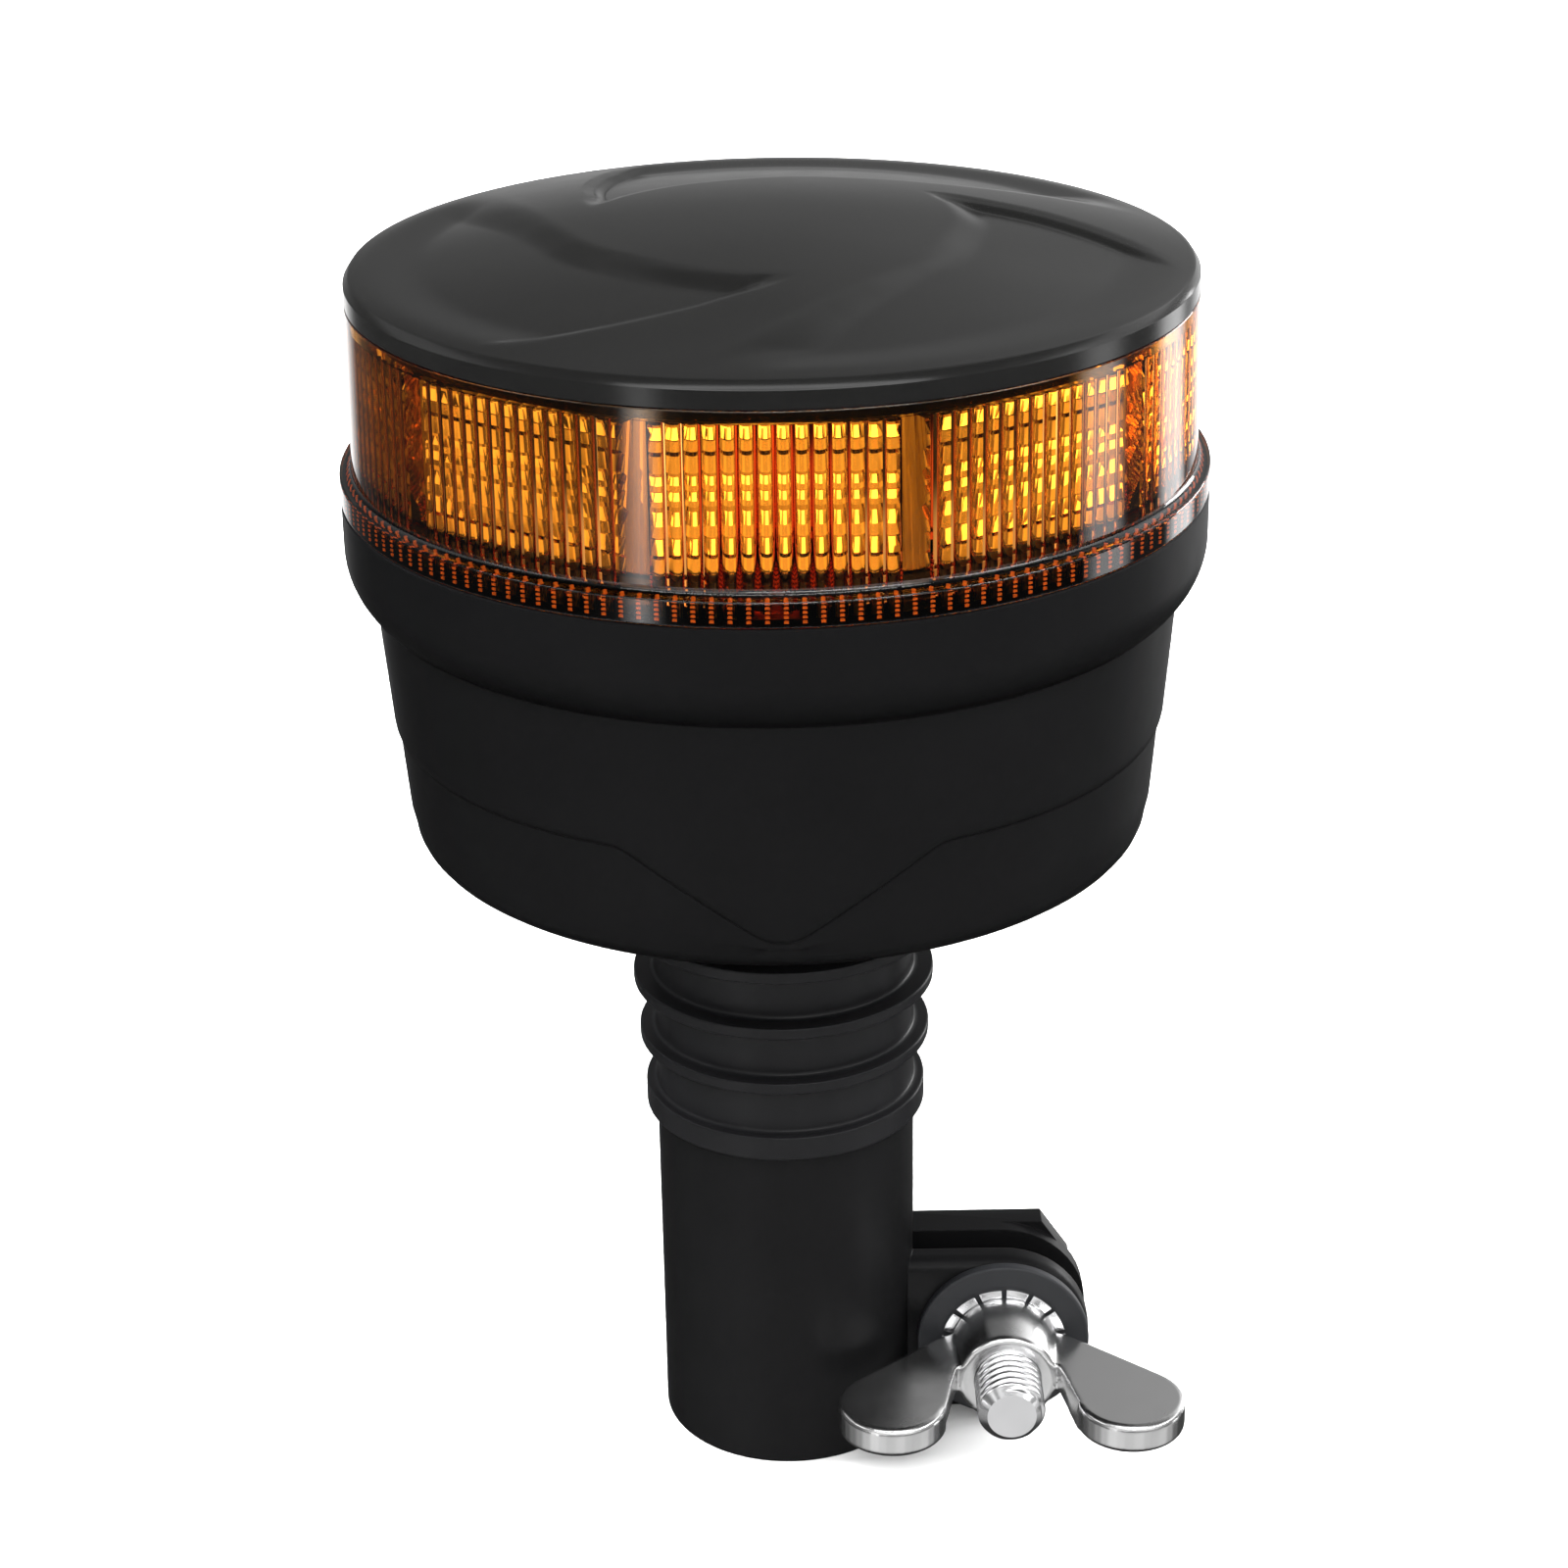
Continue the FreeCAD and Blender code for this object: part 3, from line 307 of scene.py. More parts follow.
tube = rounded([
    (SLEEVE_BORE_R, sleeve_low.z, SLEEVE_EDGE_ROUND), (SLEEVE_R, sleeve_low.z, SLEEVE_EDGE_ROUND),
    (SLEEVE_R, SLEEVE_TOP, 0), (SPIGOT_R, SLEEVE_TOP, 0), (SPIGOT_R, sleeve_high.z, 0),
    (STEM_HOLE_R, sleeve_high.z, 0), (STEM_HOLE_R, SOCKET_TOP, 0), (SLEEVE_BORE_R, SOCKET_TOP, 0)])
sleeve = piece("sleeve_moulding", lathe(lambda degrees: tube, SLEEVE_COLUMNS))

front_ear = prism(ear_outline(), lambda x, z: (x, front_low.y, z), (0, front_high.y - front_low.y, 0))
softened(front_ear, EAR_FRONT_ROUND, lambda co: abs(co.y - front_low.y) < TOUCH)
rear_depth = BOSS_FRONT + OVERCUT - rear_low.y
rear_plate = prism(ear_outline(), lambda x, z: (x, rear_low.y, z), (0, rear_depth, 0))
boss_outline = [(EAR_ROOT, rear_low.z), (BOLT_X + BOSS_FLAT, rear_low.z),
                (BOLT_X + BOSS_SIDE, BOLT_Z - BOSS_DROP), (BOLT_X + BOSS_SIDE, BOLT_Z + BOSS_DROP),
                (BOLT_X + BOSS_FLAT, rear_high.z), (EAR_ROOT, rear_high.z)]
boss = prism(boss_outline, lambda x, z: (x, BOSS_FRONT, z), (0, rear_high.y - BOSS_FRONT, 0))
softened(boss, EAR_BACK_ROUND, lambda co: abs(co.y - rear_high.y) < TOUCH)
ears = [piece("front_ear_block", front_ear), piece("rear_ear_block", rear_plate), piece("boss_block", boss)]
carved(sleeve, "UNION", ears)

foot = sleeve_low.z - OVERCUT
slit_outline = [(-SLIT_HALF_W, foot), (SLIT_HALF_W, foot),
                *arc(0, SLIT_TOP, SLIT_HALF_W, 0, 180, ARC_STEPS)]
slit = prism(slit_outline, lambda y, z: (0, y, z), (2 * BOLT_X, 0, 0))
socket = [(0, foot), (SLEEVE_BORE_R, foot), (SLEEVE_BORE_R, SOCKET_TOP), (0, SOCKET_TOP)]
hexagon = arc(BOLT_X, BOLT_Z, HEX_POCKET_AF / math.sqrt(3), 0, 300, 5)
head_seat = box_mm("clamp_bolt")[1].y - HEAD_H
pocket = prism(hexagon, lambda x, z: (x, head_seat, z), (0, POCKET_DEPTH, 0))
cuts = [piece("slit_cut", slit), piece("socket_cut", lathe(lambda degrees: socket, ROUND_COLUMNS)),
        piece("pocket_cut", pocket), piece("bolt_hole_cut", bolt_rod(EAR_HOLE_R, -BOLT_REACH, BOLT_REACH))]
carved(sleeve, "DIFFERENCE", cuts)
sleeve_plastic = moulded("sleeve_nylon", (0.0028, 0.0028, 0.003), (0.0038, 0.0038, 0.004),
                         rough=0.36, grain=0.4, depth=0.01, specular=0.075, edge=0.3)
dressed(sleeve, sleeve_plastic, "sleeve", "sleeve_plastic", "clamp_sleeve", "front_ear", "rear_ear")

# Flexible neck: the ribbed tube that lets the lamp swing when something strikes it. Moulded in black
# rubber over the sleeve's spigot, its upper flange held inside the bowl by a steel plate.
COLLAR_R = 20.55
COLLAR_H = 3.7
COLLAR_EDGE = 0.25
FINS = 3
FIN_PITCH = 9.13
FIN_T = 1.8
FIN_GROWTH = 0.68
FIN_EDGE = 0.32
CORE_FILLET = 0.7
SHOULDER_R = 23.4
SHOULDER_T = 2.6
WAIST_R = 17.0
FLANGE_R = 19.5
NECK_BORE_R = 11.0
FLOOR_T = 2.8
BEND_ROW = 1.5
NECK_COLUMNS = 144
neck_low, neck_high = box_mm("flexible_neck")
base_low, base_high = box_mm("base_housing")


def divided(outline, longest):
    """The outline with its long runs split into pieces no longer than a given length."""
    points = []
    for index, point in enumerate(outline):
        run = point - outline[index - 1]
        count = max(1, math.ceil(run.length / longest))
        for step in range(count):
            points.append(outline[index - 1] + run * (step + 1) / count)
    return points


collar_top = neck_low.z + COLLAR_H
shoulder_low = base_low.z - SHOULDER_T
floor_top = base_low.z + FLOOR_T
neck_corners = [(SPIGOT_R, neck_low.z, 0), (COLLAR_R, neck_low.z, COLLAR_EDGE),
                (COLLAR_R, collar_top, FIN_EDGE), (SLEEVE_R, collar_top, CORE_FILLET)]
for fin in range(1, FINS + 1):
    fin_top = collar_top + fin * FIN_PITCH
    fin_r = COLLAR_R + fin * FIN_GROWTH
    neck_corners += [(SLEEVE_R, fin_top - FIN_T, CORE_FILLET), (fin_r, fin_top - FIN_T, FIN_EDGE),
                     (fin_r, fin_top, FIN_EDGE), (SLEEVE_R, fin_top, CORE_FILLET)]
neck_corners += [(SLEEVE_R, shoulder_low, CORE_FILLET), (SHOULDER_R, shoulder_low, FIN_EDGE),
                 (SHOULDER_R, base_low.z, FIN_EDGE), (WAIST_R, base_low.z, 0), (WAIST_R, floor_top, 0),
                 (FLANGE_R, floor_top, 0), (FLANGE_R, neck_high.z, 0), (NECK_BORE_R, neck_high.z, 0),
                 (NECK_BORE_R, sleeve_high.z, 0), (SPIGOT_R, sleeve_high.z, 0)]
neck_outline = divided(rounded(neck_corners), BEND_ROW)
neck = piece("neck_bellows", lathe(lambda degrees: neck_outline, NECK_COLUMNS))
neck_rubber = moulded("neck_rubber", (0.004, 0.004, 0.0044), (0.006, 0.006, 0.0065),
                      rough=0.32, grain=0.5, depth=0.012, specular=0.15)
neck.data.materials.append(neck_rubber)
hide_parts("flexible_neck")
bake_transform(neck)

# Clamp bolt: an M10 hexagon bolt, zinc plated. Its head lies in the rear ear's pocket and its rolled
# thread comes out at the front through both washers and the wing nut.
THREAD_PITCH = 1.5
THREAD_DEPTH = 0.75
THREAD_START = -7.0
ROWS_PER_PITCH = 12
TIP_CHAMFER = 1.4
TIP_SLOPE = 1.1
TIP_BAND = 0.01
BOLT_R = 5.0
HEAD_AF = 17.0
HEAD_CHAMFER = 0.9
HEAD_EDGE = 0.2
HEAD_SLOPE = 1.7
SHANK_LAP = 0.2
THREAD_CREASE = 60
CLOUD_PATCH = 5.0
CLOUD_LOW, CLOUD_HIGH = 0.8, 1.25
MARK_STRENGTH = 0.4
CLOUD_DETAIL, MARK_DETAIL = 4.0, 2.0
bolt_low, bolt_high = box_mm("clamp_bolt")


def wound(rows, columns, radius_at):
    """Closed round bar along the bolt's axis, from a radius that depends on place and angle."""
    angles = [2 * math.pi * column / columns for column in range(columns)]
    rings = []
    for y in rows:
        ring = []
        for angle in angles:
            radius = radius_at(y, angle)
            ring.append((BOLT_X + radius * math.cos(angle), y, BOLT_Z + radius * math.sin(angle)))
        rings.append(ring)
    return skinned(rings, False)


def thread_radius(y, angle):
    """Radius of the shank: plain at the back, a rolled thread in front, a chamfer at the tip."""
    turn = (y / THREAD_PITCH + angle / (2 * math.pi)) % 1
    valley = (0.5 + 0.5 * math.cos(2 * math.pi * turn)) ** 2 if y < THREAD_START else 0
    crest = BOLT_R - THREAD_DEPTH * valley
    return min(crest, BOLT_R - TIP_CHAMFER + (y - bolt_low.y) * TIP_SLOPE)


def head_radius(y, angle):
    """Hexagon with its outer corners turned off."""
    side = (math.degrees(angle) + 30) % 60 - 30
    hexagon_r = HEAD_AF / 2 / math.cos(math.radians(30 - abs(side)))
    return min(hexagon_r, HEAD_AF / 2 - HEAD_EDGE + (bolt_high.y - y) * HEAD_SLOPE)


def plated(name, colour, rough, mark, depth, metallic=1.0):
    """Plated metal with faint casting or drawing marks and cloudy gloss."""
    material, tree, shader = material_tree(name)
    cloud = noise(tree, CLOUD_PATCH, CLOUD_DETAIL)
    gloss = mapped(tree, cloud, *NOISE_MIDDLE, rough * CLOUD_LOW, rough * CLOUD_HIGH)
    normal = bumped(tree, noise(tree, mark, MARK_DETAIL), depth, MARK_STRENGTH)
    fed(tree, shader, {"Base Color": (*colour, 1), "Metallic": metallic, "Roughness": gloss,
                       "Normal": normal})
    return material


thread_rows = [head_seat + SHANK_LAP]
while thread_rows[-1] > bolt_low.y + 1e-6:
    thread_rows.append(max(thread_rows[-1] - THREAD_PITCH / ROWS_PER_PITCH, bolt_low.y))
bolt = piece("bolt_shank", wound(thread_rows, ROUND_COLUMNS, thread_radius), THREAD_CREASE)
tip_y = (bolt_low.y + TIP_BAND) * MM
for edge in bolt.data.edges:
    if all(bolt.data.vertices[end].co.y < tip_y for end in edge.vertices):
        edge.use_edge_sharp = True
head_rows = [head_seat, bolt_high.y - HEAD_CHAMFER, bolt_high.y - HEAD_CHAMFER / 2, bolt_high.y]
head = piece("bolt_head", wound(head_rows, ROUND_COLUMNS, head_radius))
bright_steel = plated("zinc_plate", (0.82, 0.82, 0.83), rough=0.2, mark=0.3, depth=0.001)
dressed(bolt, bright_steel, "sleeve", "bright_steel", "clamp_bolt")
dressed(head, bright_steel, "sleeve", "bright_steel")

# Flat washer: a wide nylon disc that spreads the nut's pressure over the front ear. Dark grey and
# matte, with soft moulded edges, loose on the bolt.
WASHER_EDGE = 0.45
BORE_EDGE = 0.2
washer_low, washer_high = box_mm("flat_washer")
WASHER_R = washer_high.x - BOLT_X


def ring_on_bolt(corners, columns):
    """Turned ring on the bolt's axis from corners of (radius, place along Y, round)."""
    bm = lathe(lambda degrees: rounded(corners), columns)
    bm.transform(Matrix.Translation((BOLT_X, 0, BOLT_Z)) @ Matrix.Rotation(math.radians(-90), 4, "X"))
    bmesh.ops.recalc_face_normals(bm, faces=bm.faces)
    return bm


washer_corners = [(EAR_HOLE_R, washer_low.y, BORE_EDGE), (WASHER_R, washer_low.y, WASHER_EDGE),
                  (WASHER_R, washer_high.y, WASHER_EDGE), (EAR_HOLE_R, washer_high.y, BORE_EDGE)]
washer = piece("disc_washer", ring_on_bolt(washer_corners, ROUND_COLUMNS))
washer_plastic = moulded("washer_nylon", (0.009, 0.0095, 0.011), (0.013, 0.0135, 0.015),
                         rough=0.55, grain=0.3, depth=0.02, specular=0.35)
dressed(washer, washer_plastic, "sleeve", "washer_plastic", "flat_washer")

# Lock washer: a stamped spring-steel ring with twisted teeth round its edge, zinc plated. The wing
# nut carries it along the thread and presses it on the disc.
TEETH = 14
NOTCH_DEG = 4.6
TOOTH_ROOT_R = 7.8
LOCK_BORE_R = 5.3
LOCK_SHEET_T = 0.6
LOCK_EDGE = 0.12
TOOTH_TWIST = 0.13
TOOTH_STEPS = 6
lock_low, lock_high = box_mm("lock_washer")
LOCK_R = (lock_high.x - lock_low.x) / 2
lock_mid = (lock_low.y + lock_high.y) / 2
TOOTH_DEG = 360 / TEETH

lock_edge = []
for tooth in range(TEETH):
    first = (tooth + 0.5) * TOOTH_DEG
    turn = [(TOOTH_ROOT_R, first - NOTCH_DEG / 2), (TOOTH_ROOT_R, first + NOTCH_DEG / 2)]
    for step in range(TOOTH_STEPS + 1):
        turn.append((LOCK_R, first + NOTCH_DEG / 2 + (TOOTH_DEG - NOTCH_DEG) * step / TOOTH_STEPS))
    for radius, degrees in turn:
        angle = math.radians(degrees)
        lock_edge.append((BOLT_X + radius * math.cos(angle), BOLT_Z + radius * math.sin(angle)))
lock_disc = prism(lock_edge, lambda x, z: (x, lock_mid - LOCK_SHEET_T / 2, z), (0, LOCK_SHEET_T, 0))
softened(lock_disc, LOCK_EDGE, lambda co: abs(co.y - lock_mid + LOCK_SHEET_T / 2) < TOUCH, 2)
for vert in lock_disc.verts:
    out = math.hypot(vert.co.x - BOLT_X, vert.co.z - BOLT_Z)
    degrees = math.degrees(math.atan2(vert.co.z - BOLT_Z, vert.co.x - BOLT_X))
    share = (degrees / TOOTH_DEG - 0.5) % 1 - 0.5
    lift = max(0, out - TOOTH_ROOT_R) / (LOCK_R - TOOTH_ROOT_R)
    vert.co.y += 2 * TOOTH_TWIST * share * lift
lock = piece("tooth_washer", lock_disc)
carved(lock, "DIFFERENCE", [piece("lock_bore_cut", bolt_rod(LOCK_BORE_R, -BOLT_REACH, 0))])
dressed(lock, bright_steel, "nut_carrier", "bright_steel", "lock_washer")

# Wing nut: a die-cast zinc nut with two flat wings for the fingers, tumbled and bright plated, so its
# edges are round and its flats satin. It screws along the bolt and draws the ears together.
WING_T = 4.7
WING_EDGE = 0.9
WING_LOBE_R = 8.0
WING_ROOT_BACK = (9.2, 0.3)
WING_ROOT_FRONT = (7.6, 9.2)
HUB_R = 8.2
HUB_FRONT_R = 7.3
HUB_LEN = 9.7
HUB_EDGE = 1.0
HUB_BACK_EDGE = 0.4
HUB_OVERLAP = 3.0
NUT_BORE_R = 5.06
VOXEL = 0.22
EVEN_PASSES = 5
FILLET_PASSES = 16
FILLET_REACH = 2.2
FLAT_REACH = 0.06
FLAT_START = HUB_R + 2.0
CAST_CREASE = 60
NUT_CREASE = 50
nut_low, nut_high = box_mm("wing_nut")
hub_front = nut_high.y - HUB_LEN
WING_LOBE = Vector((nut_high.x - BOLT_X - WING_LOBE_R, nut_high.y - nut_low.y - WING_LOBE_R))


def tangent_turn(root, turn):
    """Angle on the lobe, in degrees, where a straight edge from the root touches it."""
    away = Vector(root) - WING_LOBE
    return math.degrees(math.atan2(away.y, away.x) + turn * math.acos(WING_LOBE_R / away.length))


def wing(side):
    """One wing: straight edges that leave the hub and run round a lobe."""
    first = tangent_turn(WING_ROOT_BACK, 1)
    last = tangent_turn(WING_ROOT_FRONT, -1) + 360
    points = [(0, WING_ROOT_BACK[1]), WING_ROOT_BACK,
              *arc(WING_LOBE.x, WING_LOBE.y, WING_LOBE_R, first, last, ARC_STEPS),
              WING_ROOT_FRONT, (0, WING_ROOT_FRONT[1])]
    under = BOLT_Z - WING_T / 2
    block = prism(points, lambda out, ahead: (BOLT_X + side * out, nut_high.y - ahead, under),
                  (0, 0, WING_T))
    return softened(block, WING_EDGE, lambda co: abs(co.x - BOLT_X) > HUB_R)


def gathered(*parts):
    """One mesh from several."""
    whole = bmesh.new()
    for part in parts:
        copy = bpy.data.meshes.new("part")
        part.to_mesh(copy)
        part.free()
        whole.from_mesh(copy)
        bpy.data.meshes.remove(copy)
    return whole


def smoothed(obj, passes, group=""):
    """Smooths a mesh, or one group of its vertices."""
    smooth = obj.modifiers.new("smooth", "SMOOTH")
    smooth.factor = 0.5
    smooth.iterations = passes
    smooth.vertex_group = group
    applied(obj, CAST_CREASE)


def evened(obj):
    """Even mesh over all the parts of an object, lightly smoothed."""
    even = obj.modifiers.new("even", "REMESH")
    even.mode = "VOXEL"
    even.voxel_size = VOXEL * MM
    smoothed(obj, EVEN_PASSES)


def filleted(obj, near):
    """Smooths the vertices that a test picks, which rounds an inner corner."""
    group = obj.vertex_groups.new(name="fillet")
    group.add([vert.index for vert in obj.data.vertices if near(vert.co / MM)], 1.0, "REPLACE")
    smoothed(obj, FILLET_PASSES, group.name)


def near_hub_joint(co):
    """Whether a point lies where a wing runs into the hub."""
    out = math.hypot(co.x - BOLT_X, co.z - BOLT_Z)
    share = (nut_high.y - co.y) / HUB_LEN
    hub_r = HUB_R + (HUB_FRONT_R - HUB_R) * share
    near_face = abs(abs(co.z - BOLT_Z) - WING_T / 2) < FILLET_REACH
    beside = abs(co.x - BOLT_X) > HUB_FRONT_R - HUB_OVERLAP
    return near_face and beside and abs(out - hub_r) < FILLET_REACH


def flattened(mesh):
    """Puts the faces of the wings back on their planes."""
    for vert in mesh.vertices:
        height = vert.co.z / MM - BOLT_Z
        off = abs(abs(height) - WING_T / 2)
        if abs(vert.co.x / MM - BOLT_X) > FLAT_START and off < FLAT_REACH:
            share = min(1, 2 - 2 * off / FLAT_REACH)
            vert.co.z += share * (math.copysign(WING_T / 2, height) - height) * MM


hub_corners = [(0, nut_high.y, 0), (HUB_R, nut_high.y, HUB_BACK_EDGE),
               (HUB_FRONT_R, hub_front, HUB_EDGE), (0, hub_front, 0)]
nut = piece("wing_nut_casting", gathered(ring_on_bolt(hub_corners, ROUND_COLUMNS), wing(1), wing(-1)))
evened(nut)
filleted(nut, near_hub_joint)
flattened(nut.data)
carved(nut, "DIFFERENCE", [piece("nut_bore_cut", bolt_rod(NUT_BORE_R, -2 * BOLT_REACH, 0))], NUT_CREASE)
cast_zinc = plated("bright_casting", (0.76, 0.76, 0.76), rough=0.22, mark=0.2, depth=0.0015)
dressed(nut, cast_zinc, "nut", "cast_zinc", "wing_nut")

# Contact spring: a coil of round steel wire above the contact pin. It presses the pin on the pole's
# live contact, and shortens when the pin is pushed up.
SPRING_WIRE_R = 0.4
SPRING_TURNS = 4
STEPS_PER_TURN = 40
WIRE_SIDES = 12
spring_low, spring_high = box_mm("contact_spring")
spring_r = spring_high.x - SPRING_WIRE_R


def coil(radius, wire_r, low, high, turns):
    """Round wire wound about Z, closed at both ends."""
    rings = []
    count = turns * STEPS_PER_TURN
    for step in range(count + 1):
        angle = 2 * math.pi * step / STEPS_PER_TURN
        middle = low + wire_r + (high - low - 2 * wire_r) * step / count
        section = arc(radius, middle, wire_r, 0, 360, WIRE_SIDES)[:-1]
        rings.append([(out * math.cos(angle), out * math.sin(angle), z) for out, z in section])
    return skinned(rings, False)


spring = piece("pin_spring", coil(spring_r, SPRING_WIRE_R, spring_low.z, spring_high.z, SPRING_TURNS))
spring_wire = plated("spring_wire", (0.55, 0.55, 0.56), rough=0.3, mark=0.4, depth=0.01)
dressed(spring, spring_wire, "sleeve", "spring_steel", "contact_spring")
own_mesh(spring)

# Supply leads: two wires in black sheaths, drawn up through the hollow neck to the driver board. Their
# length is divided into short rows.
leads_low, leads_high = box_mm("supply_leads")
LEAD_R = (leads_high.y - leads_low.y) / 2
LEAD_EDGE = 0.2
LEAD_COLUMNS = 24
lead_side = leads_high.x - LEAD_R


def lead(side):
    """One wire, upright beside the axis."""
    corners = [(0, leads_low.z, 0), (LEAD_R, leads_low.z, LEAD_EDGE),
               (LEAD_R, leads_high.z, LEAD_EDGE), (0, leads_high.z, 0)]
    outline = divided(rounded(corners), BEND_ROW)
    bm = lathe(lambda degrees: outline, LEAD_COLUMNS)
    bm.transform(Matrix.Translation((side * lead_side, 0, 0)))
    return bm


leads = piece("sheathed_leads", gathered(lead(1), lead(-1)))
wire_sheath = moulded("wire_sheath", (0.02, 0.02, 0.02), (0.03, 0.03, 0.03),
                      rough=0.5, grain=0.5, depth=0.02, specular=0.4)
leads.data.materials.append(wire_sheath)
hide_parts("supply_leads")
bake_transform(leads)

# Base housing: the bowl that holds the driver, moulded in black plastic with a fine matte grain. An
# outer skin stands a little proud and ends below in a line with three V-shaped tongues.
BASE_R = 52.5
BASE_DRAFT = 0.084
BASE_WALL = 2.5
BASE_CORNER = 4.0
RIM_R = base_high.x
RIM_BAND = 7.0
RIM_ROUND = 9.5
RIM_LEDGE = 5.4
RIM_EDGE = 0.4
SKIN_STEP = 0.5
SKIN_EDGE_H = 1.7
SKIN_LINE_H = 17.5
TONGUES = 3
TONGUE_DROP = 12.7
TONGUE_SLOPE = 0.683
TONGUE_TIP_R = 6.0
LINE_ROUND = 0.5
NECK_HOLE_R = 17.3
CREASE_H = 36.3
TOWER_RING_R = 45.5
TOWER_R = 4.3
TOWER_DROP = 8.0
SEAT_DEPTH = 9.0
TOWER_TOP = base_high.z - TOWER_DROP
SCREW_SEAT = TOWER_TOP - SEAT_DEPTH
SCREW_HOLE_R = 1.9
SCREW_WELL_R = 3.35
THIRDS = (0, 120, 240)
BASE_COLUMNS = 360
BASE_CREASE = 40
POST_COLUMNS = 40
CORNER_SHORT = 0.2
CORNER_STEPS, LINE_STEPS, EDGE_STEPS, WALL_STEPS, RIM_STEPS = 6, 6, 8, 8, 14
rim_low = base_high.z - RIM_BAND


def skin_line(degrees):
    """Height of the skin's lower edge at an angle from the front."""
    third = 360 / TONGUES
    off = (degrees + third / 2) % third - third / 2
    across = abs(BASE_R * math.sin(math.radians(off)))
    level = base_low.z + SKIN_LINE_H
    tip = level - TONGUE_DROP
    slope = math.atan(TONGUE_SLOPE)
    touch = TONGUE_TIP_R * math.sin(slope)
    if across < touch:
        tongue = tip + TONGUE_TIP_R - math.sqrt(TONGUE_TIP_R ** 2 - across ** 2)
    else:
        tongue = tip + TONGUE_TIP_R * (1 - math.cos(slope)) + (across - touch) * TONGUE_SLOPE
    gap = math.hypot(tongue - level, LINE_ROUND)
    return (tongue + level - gap) / 2


def wall_radius(z):
    """Outside of the proud skin."""
    return BASE_R + BASE_DRAFT * (z - base_low.z)


def base_outline(degrees):
    """Closed section of the bowl at an angle from the front."""
    line = skin_line(degrees)
    low = base_low.z + BASE_CORNER - CORNER_SHORT
    foot = wall_radius(base_low.z) - SKIN_STEP
    points = [(NECK_HOLE_R, base_low.z), (TOWER_RING_R, base_low.z)]
    for x, z in arc(0, 0, 1, -90, 0, CORNER_STEPS):
        points.append((foot - BASE_CORNER * (1 - x), low + (BASE_CORNER - CORNER_SHORT) * z))
    for step in range(1, LINE_STEPS + 1):
        z = low + (line - low) * step / LINE_STEPS
        points.append((wall_radius(z) - SKIN_STEP, z))
    for x, y in arc(0, 0, 1, 0, 90, EDGE_STEPS)[1:]:
        z = line + SKIN_EDGE_H * (1 - x)
        points.append((wall_radius(z) - SKIN_STEP * (1 - y), z))
    crease = base_low.z + CREASE_H
    high = line + SKIN_EDGE_H
    for step in range(1, WALL_STEPS + 1):
        z = high + (crease - high) * step / WALL_STEPS
        points.append((wall_radius(z), z))
    first = math.degrees(math.acos((wall_radius(crease) - RIM_R + RIM_ROUND) / RIM_ROUND))
    points += arc(RIM_R - RIM_ROUND, rim_low, RIM_ROUND, -first, 0, RIM_STEPS)[1:]
    inner = RIM_R - RIM_LEDGE
    points += [(RIM_R, base_high.z - RIM_EDGE), (RIM_R - RIM_EDGE, base_high.z), (inner, base_high.z),
               (inner, rim_low), (wall_radius(crease) - BASE_WALL, crease),
               (wall_radius(base_low.z) - BASE_WALL, floor_top), (NECK_HOLE_R, floor_top)]
    return points


def post(radius, low, high, degrees):
    """Upright round bar at an angle from the front, on the ring of screw towers."""
    outline = [(0, low), (radius, low), (radius, high), (0, high)]
    bm = lathe(lambda angle: outline, POST_COLUMNS)
    turn = math.radians(degrees)
    bm.transform(Matrix.Translation((TOWER_RING_R * math.sin(turn), -TOWER_RING_R * math.cos(turn), 0)))
    return bm


base = piece("base_bowl", lathe(base_outline, BASE_COLUMNS))
towers = []
wells = []
for degrees in THIRDS:
    towers.append(piece("tower", post(TOWER_R, base_low.z + OVERCUT, TOWER_TOP, degrees)))
    wells.append(piece("well", post(SCREW_WELL_R, base_low.z - OVERCUT, SCREW_SEAT, degrees)))
    wells.append(piece("hole", post(SCREW_HOLE_R, SCREW_SEAT - OVERCUT, TOWER_TOP + OVERCUT, degrees)))
carved(base, "UNION", towers)
carved(base, "DIFFERENCE", wells, BASE_CREASE)
base_plastic = moulded("base_matte", (0.0024, 0.0024, 0.0026), (0.0032, 0.0032, 0.0034),
                       rough=0.46, grain=0.35, depth=0.008, specular=0.06)
dressed(base, base_plastic, "lamp", "base_plastic", "base_housing")

# Lens: one amber polycarbonate cylinder, polished outside and moulded with upright flutes inside, in
# ten groups with a plain bar between them. Its flange is screwed down on the bowl's rim.
LENS_COLUMNS = 960
PANELS = 10
FLUTES_PER_PANEL = 14
FLUTE_DEG = 2.25
FLUTE_DEPTH = 0.6
LENS_FOOT_R = 57.65
LENS_TOP_R = 57.3
LENS_WALL = 2.2
FLANGE_T = 3.5
FLANGE_EDGE = 0.45
FOOT_FILLET = 1.1
FOOT_STEPS = 8
LENS_EDGE = 0.2
LENS_CREASE = 24
COLLAR_DROP = 2.1
COLLAR_SLOPE = 0.1
LUG_W = 8.6
LUG_REACH = 56.4
LUG_DROP = 0.2
LENS_PATCH = 9.0
LENS_HAZE = 0.02
lens_high = box_mm("lens")[1]
flange_low = base_high.z
lens_foot = flange_low + FLANGE_T
lens_bore = LENS_TOP_R - LENS_WALL


def flute_height(degrees):
    """How far the inside of the lens bulges in at an angle: round flutes, or a plain bar."""
    panel_deg = 360 / PANELS
    off = (degrees + panel_deg / 2) % panel_deg - panel_deg / 2
    if abs(off) > FLUTES_PER_PANEL * FLUTE_DEG / 2:
        return FLUTE_DEPTH
    share = 2 * ((off / FLUTE_DEG) % 1) - 1
    return FLUTE_DEPTH * (1 - share ** 2)


